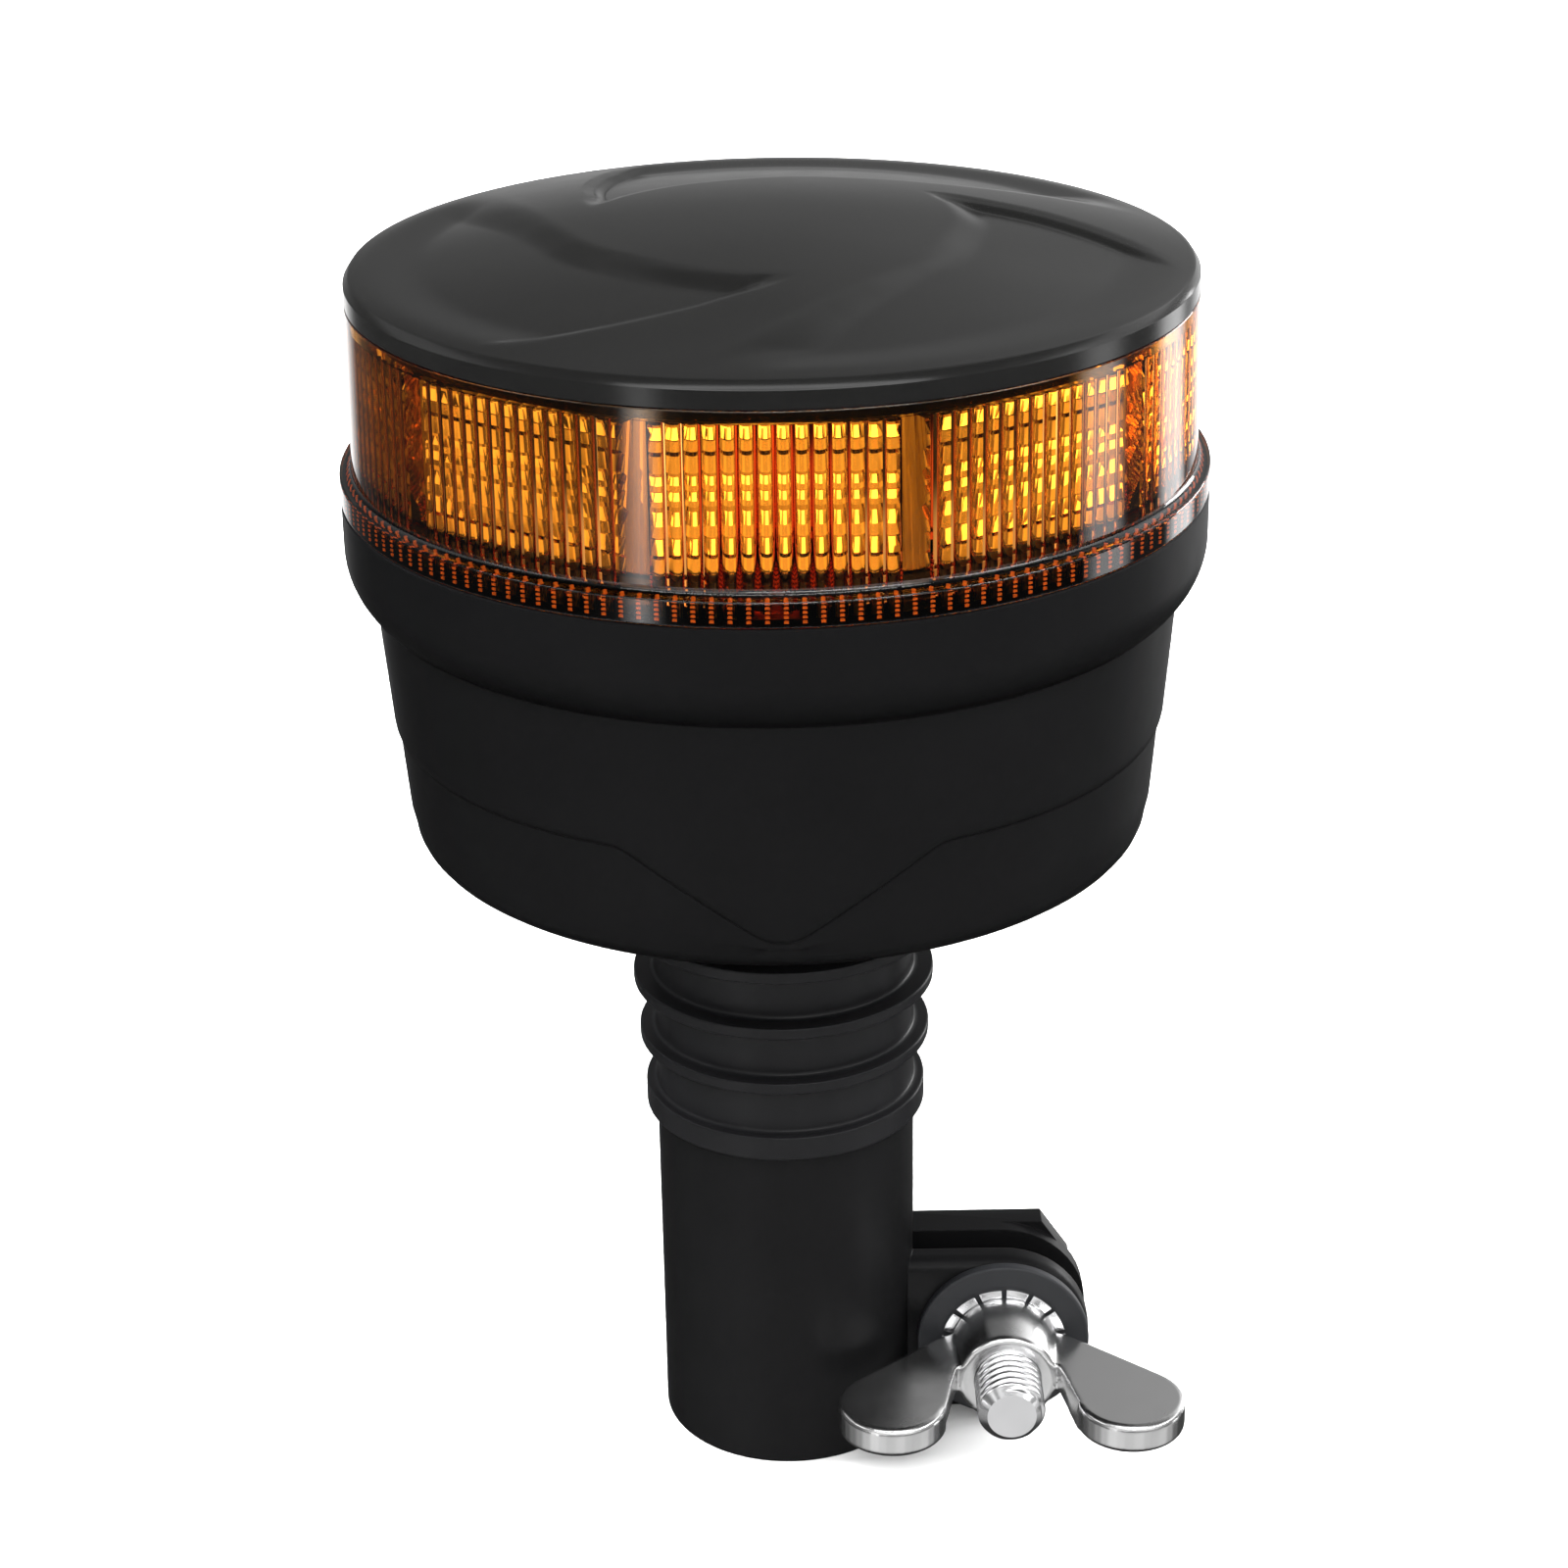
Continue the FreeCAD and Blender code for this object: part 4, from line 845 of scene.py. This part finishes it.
def lens_outline(degrees):
    """Closed section of the lens at an angle from the front."""
    inside = lens_bore - flute_height(degrees)
    flange_inside = RIM_R - RIM_LEDGE + FLUTE_DEPTH - flute_height(degrees)
    collar_low = lens_high.z - COLLAR_DROP
    corners = [(flange_inside, flange_low, 0), (RIM_R, flange_low, FLANGE_EDGE / 2),
               (RIM_R, lens_foot, FLANGE_EDGE)]
    fillet = arc(LENS_FOOT_R + FOOT_FILLET, lens_foot + FOOT_FILLET, FOOT_FILLET, 270, 180, FOOT_STEPS)
    corners += [(radius, z, 0) for radius, z in fillet]
    corners += [(LENS_TOP_R, lens_high.z, LENS_EDGE), (lens_bore, lens_high.z, 0),
                (lens_bore, collar_low, 0), (inside, collar_low - COLLAR_SLOPE, 0), (inside, lens_foot, 0),
                (flange_inside, lens_foot - COLLAR_SLOPE, 0)]
    return rounded(corners)


lens = piece("lens_amber", lathe(lens_outline, LENS_COLUMNS))
lug_outline = [(-LUG_W / 2, TOWER_RING_R), (LUG_W / 2, TOWER_RING_R),
               (LUG_W / 2, LUG_REACH), (-LUG_W / 2, LUG_REACH)]
lugs = []
lug_holes = []
for degrees in THIRDS:
    arm = prism(lug_outline, lambda x, out: (x, -out, flange_low), (0, 0, FLANGE_T - LUG_DROP))
    arm.transform(Matrix.Rotation(math.radians(degrees), 4, "Z"))
    lugs.append(piece("lug_arm", arm))
    lugs.append(piece("lug_post", post(TOWER_R, TOWER_TOP, lens_foot - LUG_DROP, degrees)))
    hole = post(SCREW_HOLE_R, TOWER_TOP - OVERCUT, flange_low + OVERCUT, degrees)
    lug_holes.append(piece("lug_hole", hole))
carved(lens, "UNION", lugs)
carved(lens, "DIFFERENCE", lug_holes, LENS_CREASE)
amber_lens, lens_tree, lens_shader = material_tree("amber_polycarbonate")
lens_gloss = mapped(lens_tree, noise(lens_tree, LENS_PATCH), *NOISE_MIDDLE, 0.0, LENS_HAZE)
fed(lens_tree, lens_shader, {"Base Color": (1.0, 0.74, 0.24, 1), "Transmission Weight": 1.0, "IOR": 1.58,
                             "Specular IOR Level": 0.4, "Roughness": lens_gloss})
lens_depth = lens_tree.nodes.new("ShaderNodeVolumeAbsorption")
fed(lens_tree, lens_depth, {"Color": (1.0, 0.45, 0.09, 1), "Density": 150.0})
fed(lens_tree, lens_tree.nodes["Material Output"], {"Volume": lens_depth.outputs["Volume"]})
dressed(lens, amber_lens, "lamp", "amber_lens", "lens")

# Flange teeth: rows of small prisms inside the lens flange, at the foot of the flutes. They are part
# of the same amber moulding; a faint red painted glow stands in for the light that runs round inside it.
TOOTH_ROWS = [(0.5, 0.25), (1.05, 0.28), (1.65, 0.28), (2.25, 0.3), (2.85, 0.35)]
TOOTH_W = 0.6
TOOTH_DEPTH = 0.5
TOOTH_INSET = 1.6
TOOTH_PAINTED_GLOW = 0.09
TOOTH_CREASE = 20
tooth_out = RIM_R - TOOTH_INSET
tooth_outline = [(-TOOTH_W / 2, 0), (TOOTH_W / 2, 0),
                 (TOOTH_W / 4, -TOOTH_DEPTH), (-TOOTH_W / 4, -TOOTH_DEPTH)]
teeth = []
for panel in range(PANELS):
    for flute in range(FLUTES_PER_PANEL + 2):
        turn = panel * 360 / PANELS + (flute - (FLUTES_PER_PANEL + 1) / 2) * FLUTE_DEG
        for drop, tall in TOOTH_ROWS:
            top = lens_foot - drop
            ridge = prism(tooth_outline, lambda x, depth: (x, -tooth_out - depth, top), (0, 0, -tall))
            ridge.transform(Matrix.Rotation(math.radians(turn), 4, "Z"))
            teeth.append(ridge)
foot_teeth = piece("flange_teeth", gathered(*teeth), TOOTH_CREASE)
amber_teeth = moulded("amber_teeth", (0.85, 0.16, 0.03), (1.0, 0.26, 0.05),
                      rough=0.35, grain=0.6, depth=0.01, specular=0.5)
teeth_tree = amber_teeth.node_tree
# The emission is a painted glow: the teeth are no lamp.
fed(teeth_tree, teeth_tree.nodes["Principled BSDF"], {"Emission Color": (1.0, 0.30, 0.06, 1),
                                                      "Emission Strength": TOOTH_PAINTED_GLOW})
dressed(foot_teeth, amber_teeth, "lamp", "amber_lens")

# Light panels: ten prismatic optics in a ring, one in front of each light board, with a fluted post at
# each corner. Clear plastic whose facets turn the light round, so the finish is set like a mirror,
# and the frosted posts like a dull one.
PANEL_FACE = 51.88
PANEL_W = 29.96
PANEL_T = 2.4
BRIGHT, PLAIN, DARK = 21, 11, -43
FACETS = [(0.9, 8), (1.1, PLAIN), (0.8, DARK), (1.8, BRIGHT), (0.3, DARK), (1.4, PLAIN), (1.6, BRIGHT),
          (1.0, DARK), (0.7, PLAIN), (1.0, BRIGHT), (0.2, DARK), (0.7, PLAIN), (1.0, BRIGHT), (0.6, DARK),
          (1.7, 9), (0.4, PLAIN), (0.8, DARK), (1.3, PLAIN), (0.2, DARK), (1.4, BRIGHT), (0.5, DARK)]
POST_W = 1.9
POST_OUT = 53.3
POST_LEAN = 5.0
POST_BACK = POST_OUT - 2.6
POST_SHOULDER = POST_OUT - 0.9
POST_BULGE = 0.35
POST_FLUTE = 0.22
POST_CROWN = 0.95
POST_STEPS = 12
OPTIC_CREASE = 4
POST_CREASE = 25
panel_low, panel_high = box_mm("optic_panels")


def facet_outline():
    """Section of one panel, in depth and height: a flat back and a face of tilted facets."""
    tall = sum(height for height, tilt in FACETS)
    heights = [0.0]
    depths = [0.0]
    for height, tilt in FACETS:
        heights.append(heights[-1] + height / tall)
        depths.append(depths[-1] - height * math.tan(math.radians(tilt)))
    drift = depths[-1]
    depths = [depth - drift * height for height, depth in zip(heights, depths)]
    foremost = max(depths)
    points = [(PANEL_FACE - PANEL_T, panel_low.z)]
    for height, depth in zip(heights, depths):
        points.append((PANEL_FACE + depth - foremost, panel_low.z + height * (panel_high.z - panel_low.z)))
    return points + [(PANEL_FACE - PANEL_T, panel_high.z)]


def corner_post():
    """Upright bar with shallow flutes, between two panels."""
    outline = [(-POST_W, POST_BACK), (-POST_W, POST_SHOULDER)]
    for step in range(POST_STEPS + 1):
        share = 2 * step / POST_STEPS - 1
        flute = POST_FLUTE * (step % 3 != 0)
        outline.append((POST_W * share * POST_CROWN, POST_OUT - POST_BULGE * share ** 2 - flute))
    outline += [(POST_W, POST_SHOULDER), (POST_W, POST_BACK)]
    bar = prism(outline, lambda x, out: (x, -out, panel_low.z), (0, 0, panel_high.z - panel_low.z))
    for vert in bar.verts:
        vert.co.y += (vert.co.z - panel_low.z) * math.tan(math.radians(POST_LEAN))
    bar.transform(Matrix.Rotation(math.pi / PANELS, 4, "Z"))
    return bar


panels = []
posts = []
for panel in range(PANELS):
    spot = Matrix.Rotation(2 * math.pi * panel / PANELS, 4, "Z")
    panels.append(prism(facet_outline(), lambda depth, z: (-PANEL_W / 2, -depth, z), (PANEL_W, 0, 0)))
    posts.append(corner_post())
    panels[-1].transform(spot)
    posts[-1].transform(spot)
optics = piece("optic_ring", gathered(*panels), OPTIC_CREASE)
mirror_optic = plated("prism_optic", (1.0, 0.94, 0.80), rough=0.05, mark=3.0, depth=0.01)
dressed(optics, mirror_optic, "lamp", "clear_optic", "optic_panels")
corner_posts = piece("corner_posts", gathered(*posts), POST_CREASE)
frosted = plated("frosted_post", (0.95, 0.84, 0.62), rough=0.14, mark=0.4, depth=0.01, metallic=0.6)
dressed(corner_posts, frosted, "lamp", "clear_optic")

# Top cap: the domed lid, moulded in satin black plastic and welded into the lens. Three curved arms
# are sunk in its top, each with a crisp leading edge and a soft trailing slope.
CAP_R = 57.25
CAP_EDGE_R = 56.45
CAP_SIDE_H = 2.5
CAP_CHAMFER_H = 1.05
CAP_RINGS = 130
CAP_COLUMNS = 540
CAP_EDGE_ROUND = (0.12, 0.08)
CAP_BREAK = 0.15
CAP_HOLLOW = (30.0, 5.0)
CAP_CREASE = 30
SKIRT_R = 55.0
SKIRT_T = 2.2
SKIRT_TAPER = 1.0
SWIRL_ARMS = 3
SWIRL_TIP_DEG = 9.0
SWIRL_DEPTH = 1.2
BEVEL_W = 1.5
BEVEL_SHARE = 0.3
LEAD_W = 1.8
TRAIL_W = 5.6
TRAIL_SPREAD = 1.0
TRAIL_START, TRAIL_GROWTH = 100.0, 40.0
TRAIL_SHARE = 0.9
TIP_W = 5.0
SWIRL_FADE = 9.0
PLAIN_EDGE = 1.0
CURVE_STEPS = 90
CURVE_BLUR = 9
SWIRL_LEAD = [(0, 26.0), (17, 33.0), (30, 41.0), (40, 48.0), (53, 60.0)]
SWIRL_TRAIL = [(0, 26.0), (24, 24.5), (55, 23.4), (95, 26.5), (116, 32.0), (127, 38.0), (139, 50.0),
               (147, 60.0)]
cap_low, cap_high = box_mm("top_cap")
cap_side_top = lens_high.z + CAP_SIDE_H
cap_edge_z = cap_side_top + CAP_CHAMFER_H
DOME_RISE = cap_high.z - cap_edge_z


def swirl_curve(marks):
    """Smooth curve through marks of (degrees behind the tip, radius), as flat points."""
    behind, radius = np.array(marks, float).T
    fine = np.linspace(behind[0], behind[-1], CURVE_STEPS)
    out = np.pad(np.interp(fine, behind, radius), CURVE_BLUR // 2, "edge")
    out = np.convolve(out, np.ones(CURVE_BLUR) / CURVE_BLUR, "valid")
    angle = np.radians(SWIRL_TIP_DEG - fine)
    return np.stack([out * np.sin(angle), -out * np.cos(angle)], 1)


def distance_to(points, curve):
    """Distance of each point from a curve of short straight runs."""
    nearest = np.full(len(points), 1e9)
    for a, b in zip(curve, curve[1:]):
        along = np.clip(((points - a) @ (b - a)) / ((b - a) @ (b - a)), 0, 1)
        nearest = np.minimum(nearest, np.linalg.norm(points - a - along[:, None] * (b - a), axis=1))
    return nearest


def inside(points, loop):
    """Whether each point lies inside a closed loop."""
    crossed = np.zeros(len(points), bool)
    for a, b in zip(loop, np.roll(loop, -1, 0)):
        spans = (a[1] > points[:, 1]) != (b[1] > points[:, 1])
        with np.errstate(divide="ignore", invalid="ignore"):
            at = a[0] + (points[:, 1] - a[1]) * (b[0] - a[0]) / (b[1] - a[1])
        crossed ^= spans & (points[:, 0] < at)
    return crossed


def ease(share):
    """Smooth step from 0 to 1."""
    share = np.clip(share, 0, 1)
    return share * share * (3 - 2 * share)


def swirl_sink(points):
    """Depth of the three sunk arms at flat points."""
    sink = np.zeros(len(points))
    lead = swirl_curve(SWIRL_LEAD)
    trail = swirl_curve(SWIRL_TRAIL)
    for arm in range(SWIRL_ARMS):
        turn = 2 * math.pi * arm / SWIRL_ARMS
        rotation = np.array([[math.cos(turn), math.sin(turn)], [-math.sin(turn), math.cos(turn)]])
        lead_here = lead @ rotation
        trail_here = trail @ rotation
        outside = lead_here[-1] + trail_here[-1]
        outside *= 2 * CAP_R / np.linalg.norm(outside)
        beyond = [lead_here[-1] * 2, outside, trail_here[-1] * 2]
        loop = np.concatenate([lead_here, beyond, trail_here[::-1]])
        within = inside(points, loop)
        to_lead = distance_to(points, lead_here)
        to_trail = distance_to(points, trail_here)
        wide = to_lead + to_trail + 1e-6
        heading = np.degrees(np.arctan2(points[:, 0], -points[:, 1]))
        behind = (SWIRL_TIP_DEG + math.degrees(turn) - heading) % 360
        trail_w = TRAIL_W * (1 + TRAIL_SPREAD * ease((behind - TRAIL_START) / TRAIL_GROWTH))
        bevel = BEVEL_SHARE * np.clip(to_lead / BEVEL_W, 0, 1)
        depth = bevel + (1 - BEVEL_SHARE) * ease((to_lead - BEVEL_W) / LEAD_W)
        depth *= ease(to_trail / np.minimum(trail_w, TRAIL_SHARE * wide)) * ease(wide / TIP_W)
        sink = np.maximum(sink, SWIRL_DEPTH * depth * within)
    return sink


def dome_height(radius):
    """Height of the plain dome at a radius."""
    ball = (CAP_EDGE_R ** 2 + DOME_RISE ** 2) / (2 * DOME_RISE)
    return cap_high.z - ball + np.sqrt(ball ** 2 - radius ** 2)


ring_r = CAP_EDGE_R * np.linspace(0, 1, CAP_RINGS + 1)[1:]
turn = np.linspace(0, 2 * math.pi, CAP_COLUMNS, endpoint=False)
grid_r, grid_turn = np.meshgrid(ring_r, turn, indexing="ij")
flat = np.stack([(grid_r * np.sin(grid_turn)).ravel(), (-grid_r * np.cos(grid_turn)).ravel()], 1)
fade = ease((CAP_EDGE_R - PLAIN_EDGE - grid_r.ravel()) / SWIRL_FADE)
height = dome_height(grid_r.ravel()) - swirl_sink(flat) * fade
round_out, round_down = CAP_EDGE_ROUND
skirt_in = SKIRT_R - SKIRT_T
side = [(CAP_EDGE_R + round_out, cap_edge_z - round_down),
        (CAP_R - round_out, cap_side_top + 2 * round_down), (CAP_R, cap_side_top),
        (CAP_R, lens_high.z + CAP_BREAK), (CAP_R - CAP_BREAK, lens_high.z), (SKIRT_R, lens_high.z),
        (SKIRT_R - SKIRT_TAPER, cap_low.z), (skirt_in, cap_low.z), (skirt_in, lens_high.z),
        (CAP_HOLLOW[0], lens_high.z + CAP_HOLLOW[1])]
verts = [(0, 0, cap_high.z)]
verts += [(x, y, z) for (x, y), z in zip(flat, height)]
for radius, z in side:
    verts += [(radius * math.sin(t), -radius * math.cos(t), z) for t in turn]
last_ring = len(verts) - CAP_COLUMNS
faces = [tuple(range(last_ring, len(verts)))]
for column in range(CAP_COLUMNS):
    following = (column + 1) % CAP_COLUMNS
    faces.append((0, 1 + column, 1 + following))
    for low in range(1, last_ring, CAP_COLUMNS):
        high = low + CAP_COLUMNS
        faces.append((low + column, high + column, high + following, low + following))
cap_mesh = bpy.data.meshes.new("cap_shape")
cap_mesh.from_pydata(verts, [], faces)
cap_bm = bmesh.new()
cap_bm.from_mesh(cap_mesh)
bmesh.ops.recalc_face_normals(cap_bm, faces=cap_bm.faces)
cap = piece("cap_dome", cap_bm, CAP_CREASE)
cap_plastic = moulded("cap_satin", (0.0045, 0.0045, 0.0044), (0.006, 0.006, 0.0058),
                      rough=0.17, grain=0.6, depth=0.0015, specular=0.3)
dressed(cap, cap_plastic, "lamp", "cap_plastic", "top_cap")

# Inner pieces: the contacts in the pole socket, and the driver, heat sink and boards in the lamp.
# They keep their CAD shapes; each gets the plain finish of such a part.
KEPT = [
    (moulded("natural_nylon", (0.62, 0.58, 0.50), (0.70, 0.66, 0.58), 0.45, 0.6, 0.02, 0.5),
     ["contact_block", "lead_terminal"]),
    (plated("turned_brass", (0.80, 0.58, 0.26), 0.25, 0.5, 0.01),
     ["earth_contact", "contact_pin", "board_standoffs"]),
    (plated("plain_steel", (0.52, 0.52, 0.53), 0.35, 0.6, 0.02),
     ["neck_retainer", "retainer_screws", "lens_screws", "heat_sink_screws"]),
    (moulded("seal_rubber", (0.015, 0.015, 0.015), (0.02, 0.02, 0.02), 0.6, 0.5, 0.02, 0.3), ["lens_seal"]),
    (moulded("board_lacquer", (0.012, 0.07, 0.03), (0.02, 0.1, 0.045), 0.35, 1.2, 0.02, 0.5),
     ["driver_board"]),
    (plated("can_aluminium", (0.75, 0.75, 0.76), 0.28, 0.5, 0.01), ["capacitors"]),
    (moulded("ferrite", (0.03, 0.028, 0.028), (0.05, 0.047, 0.045), 0.6, 0.3, 0.05, 0.4), ["coil_choke"]),
    (moulded("chip_package", (0.02, 0.02, 0.02), (0.03, 0.03, 0.03), 0.5, 0.2, 0.02, 0.4),
     ["driver_chips"]),
    (plated("cast_aluminium", (0.74, 0.74, 0.74), 0.4, 0.7, 0.04), ["heat_sink"]),
    (moulded("white_lacquer", (0.75, 0.74, 0.70), (0.82, 0.81, 0.77), 0.35, 1.0, 0.01, 0.5),
     ["led_boards"]),
    (moulded("phosphor", (0.85, 0.60, 0.06), (0.95, 0.70, 0.10), 0.3, 0.8, 0.01, 0.5), ["led_emitters"]),
]
for material, names in KEPT:
    for name in names:
        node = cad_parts[name]
        node.data.materials.clear()
        node.data.materials.append(material)

# Stage: a pale floor that sweeps up and glows far away, the camera at the photograph's view, soft
# lights at the sides and in front, and dim surroundings with bright bars and a bright band in front,
# which show as reflections on the lens and the metal.
FLOOR_R = 6000
FLOOR_SWEEP = 2500
WALL_H = 2600
GLOW_NEAR, GLOW_FAR = 0.7, 2.2
FLOOR_LIGHT = 0.95
FLOOR_THICK = 10
FLOOR_STEPS = 16
CAMERA_AT = (0.5225, -449.442, 300.338)
CAMERA_TILT = 66.2742
CAMERA_ROLL = -0.9453
CAMERA_LENS = 78.805

sweep = rounded([(0, 0, 0), (FLOOR_R, 0, FLOOR_SWEEP), (FLOOR_R, WALL_H, 0),
                 (FLOOR_R + FLOOR_THICK, WALL_H, 0), (FLOOR_R + FLOOR_THICK, -FLOOR_THICK, 0),
                 (0, -FLOOR_THICK, 0)], FLOOR_STEPS)
floor = piece("floor", lathe(lambda degrees: sweep, ROUND_COLUMNS))
floor_paint, floor_tree, floor_shader = material_tree("floor_paint")
floor_place = floor_tree.nodes.new("ShaderNodeTexCoord").outputs["Object"]
floor_out = fed(floor_tree, floor_tree.nodes.new("ShaderNodeVectorMath"), {0: floor_place})
floor_out.operation = "LENGTH"
floor_light = mapped(floor_tree, floor_out.outputs["Value"], GLOW_NEAR, GLOW_FAR,
                     0.0, FLOOR_LIGHT, "SMOOTHSTEP")
fed(floor_tree, floor_shader, {"Base Color": (0.92, 0.92, 0.92, 1), "Roughness": 0.9,
                               "Specular IOR Level": 0.1, "Emission Color": (1, 1, 1, 1),
                               "Emission Strength": floor_light})
floor_paint.cycles.emission_sampling = "NONE"
floor.data.materials.append(floor_paint)
floor.visible_glossy = False
floor.visible_transmission = False

camera = bpy.data.objects.new("camera", bpy.data.cameras.new("camera"))
camera.data.lens = CAMERA_LENS
camera.data.sensor_width = 36.0
camera.data.clip_start = 0.01
camera.matrix_world = (Matrix.Translation(Vector(CAMERA_AT) * MM)
                       @ Matrix.Rotation(math.radians(CAMERA_TILT), 4, "X")
                       @ Matrix.Rotation(math.radians(CAMERA_ROLL), 4, "Z"))
bpy.context.scene.collection.objects.link(camera)
bpy.context.scene.camera = camera


def panel_light(name, place, target, width, height, power, spread=180):
    """Soft rectangular light that faces a point."""
    data = bpy.data.lights.new(name, "AREA")
    data.shape = "RECTANGLE"
    data.size = width
    data.size_y = height
    data.energy = power
    data.spread = math.radians(spread)
    light = bpy.data.objects.new(name, data)
    aim = Vector(target) - Vector(place)
    light.matrix_world = Matrix.Translation(place) @ aim.to_track_quat("-Z", "Y").to_matrix().to_4x4()
    light.visible_camera = False
    bpy.context.scene.collection.objects.link(light)
    return light


# Name, place, target, width, height, power and, for the washes, the spread of each light.
WASHES = [("side_wash", (1.5, 0.6, 1.2), (0, 0.5, 0), 1.5, 0.8, 22.0, 70),
          ("side_wash", (-1.5, 0.6, 1.2), (0, 0.5, 0), 1.5, 0.8, 22.0, 70),
          ("front_wash", (0, -1.2, 1.4), (0, 0, 0), 1.2, 0.6, 8.0, 90)]
LIGHTS = [("front", (0.3, -1.25, 0.68), (0, 0, 0.15), 1.0, 0.24, 3.6),
          ("front_right", (1.1, -0.65, 0.64), (0, 0, 0.15), 0.7, 0.24, 2.4),
          ("front_left", (-1.15, -0.5, 0.64), (0, 0, 0.15), 0.7, 0.24, 0.7),
          ("edge", (0, -0.55, 1.0), (0, 0, 0.15), 1.2, 0.15, 2.8),
          ("glint", (0.92, 0.79, 0.16), (0.03, -0.03, 0.02), 0.45, 0.35, 3.6)]
for row in WASHES:
    wash = panel_light(*row)
    wash.visible_glossy = False
    wash.visible_transmission = False
for row in LIGHTS:
    panel_light(*row)

world = bpy.data.worlds.new("studio")
bpy.context.scene.world = world
world.use_nodes = True
sky = world.node_tree


def brightness_ramp(value, marks):
    """Brightness by place on a scale, through marks of (place, brightness)."""
    low, high = marks[0][0], marks[-1][0]
    band = sky.nodes.new("ShaderNodeValToRGB")
    stops = band.color_ramp.elements
    for place, brightness in marks[1:-1]:
        stops.new((place - low) / (high - low))
    for stop, (place, brightness) in zip(stops, marks):
        stop.position = (place - low) / (high - low)
        stop.color = (brightness, brightness, brightness, 1)
    fed(sky, band, {"Fac": mapped(sky, value, low, high)})
    return band.outputs["Color"]


def layered(share, lower, upper, blend="MIX"):
    """Brightness that goes from one layer to the next, or one layer scaled by another."""
    layer = sky.nodes.new("ShaderNodeMix")
    layer.data_type = "RGBA"
    layer.blend_type = blend
    fed(sky, layer, {MIX_SHARE: share, MIX_A: lower, MIX_B: upper})
    return layer.outputs[MIX_RESULT]


SKY_STRENGTH = 4.0
NADIR_GLOW = (0.01, 0.01, 0.01, 1)
FLOOR_GLOW = [(-180, 0.03), (-125, 0.01), (-82, 0.07), (-41, 0.24), (-10, 0.18), (15, 0.22), (40, 0.16),
              (72, 0.2), (100, 0.04), (125, 0.01), (180, 0.03)]
BARS = [(-180, 0.5), (-160, 0.4), (-148, 0.03), (-130, 0.01), (-50, 0.01), (-41, 0.03), (-35, 0.8),
        (-29, 0.03), (-22, 0.01), (50, 0.01), (86, 0.01), (92, 0.6), (100, 0.6), (106, 0.02),
        (122, 0.02), (128, 0.8), (137, 0.8), (144, 0.03), (160, 0.4), (180, 0.5)]
FRONT_BAND = [(-180, 0.055), (-160, 0.03), (-140, 0.08), (-100, 0.2), (-58, 0.2), (-50, 0.02),
              (-44, 0.02), (-37, 0.45), (37, 0.62), (44, 0.02), (50, 0.02), (57, 0.55), (95, 0.55),
              (112, 0.3), (140, 0.4), (160, 0.14), (180, 0.055)]
SIDE_SHADE = [(-180, 1.0), (-150, 0.5), (-125, 0.2), (-60, 0.5), (-36, 3.0), (-20, 2.2), (20, 2.2),
              (36, 3.2), (50, 1.5), (72, 1.0), (100, 0.3), (125, 2.0), (150, 2.6), (170, 1.3),
              (180, 1.0)]
DOME_GLOW = [(-0.25, 0.06), (-0.1, 0.13), (0.05, 0.10), (0.2, 0.05), (0.45, 0.08), (0.60, 0.095),
             (0.76, 0.03), (1.0, 0.02)]
FLOOR_EDGE, BARS_FOOT, BARS_TOP = (-0.82, -0.68), (-0.40, -0.36), (-0.22, -0.15)
BAND_FOOT, BAND_TOP = (0.29, 0.35), (0.54, 0.64)
split = sky.nodes.new("ShaderNodeSeparateXYZ")
fed(sky, split, {"Vector": sky.nodes.new("ShaderNodeTexCoord").outputs["Generated"]})
rise = split.outputs["Z"]
ahead = fed(sky, sky.nodes.new("ShaderNodeMath"), {0: split.outputs["Y"], 1: -1.0})
ahead.operation = "MULTIPLY"
heading = fed(sky, sky.nodes.new("ShaderNodeMath"), {0: split.outputs["X"], 1: ahead.outputs["Value"]})
heading.operation = "ARCTAN2"
around = []
for marks in (FLOOR_GLOW, BARS, FRONT_BAND, SIDE_SHADE):
    marks = [(math.radians(degrees), brightness) for degrees, brightness in marks]
    around.append(brightness_ramp(heading.outputs["Value"], marks))
floor_glow, bars, front_band, side_shade = around
dome_glow = layered(1.0, brightness_ramp(rise, DOME_GLOW), side_shade, "MULTIPLY")
surroundings = NADIR_GLOW
front_glow = layered(mapped(sky, rise, *BAND_FOOT, kind="SMOOTHSTEP"), dome_glow, front_band)
dome_glow = layered(mapped(sky, rise, *BAND_TOP, kind="SMOOTHSTEP"), front_glow, dome_glow)
for limits, layer in ((FLOOR_EDGE, floor_glow), (BARS_FOOT, bars), (BARS_TOP, dome_glow)):
    surroundings = layered(mapped(sky, rise, *limits, kind="SMOOTHSTEP"), surroundings, layer)
fed(sky, sky.nodes["Background"], {"Color": surroundings, "Strength": SKY_STRENGTH})
bpy.context.scene.view_settings.view_transform = "Standard"
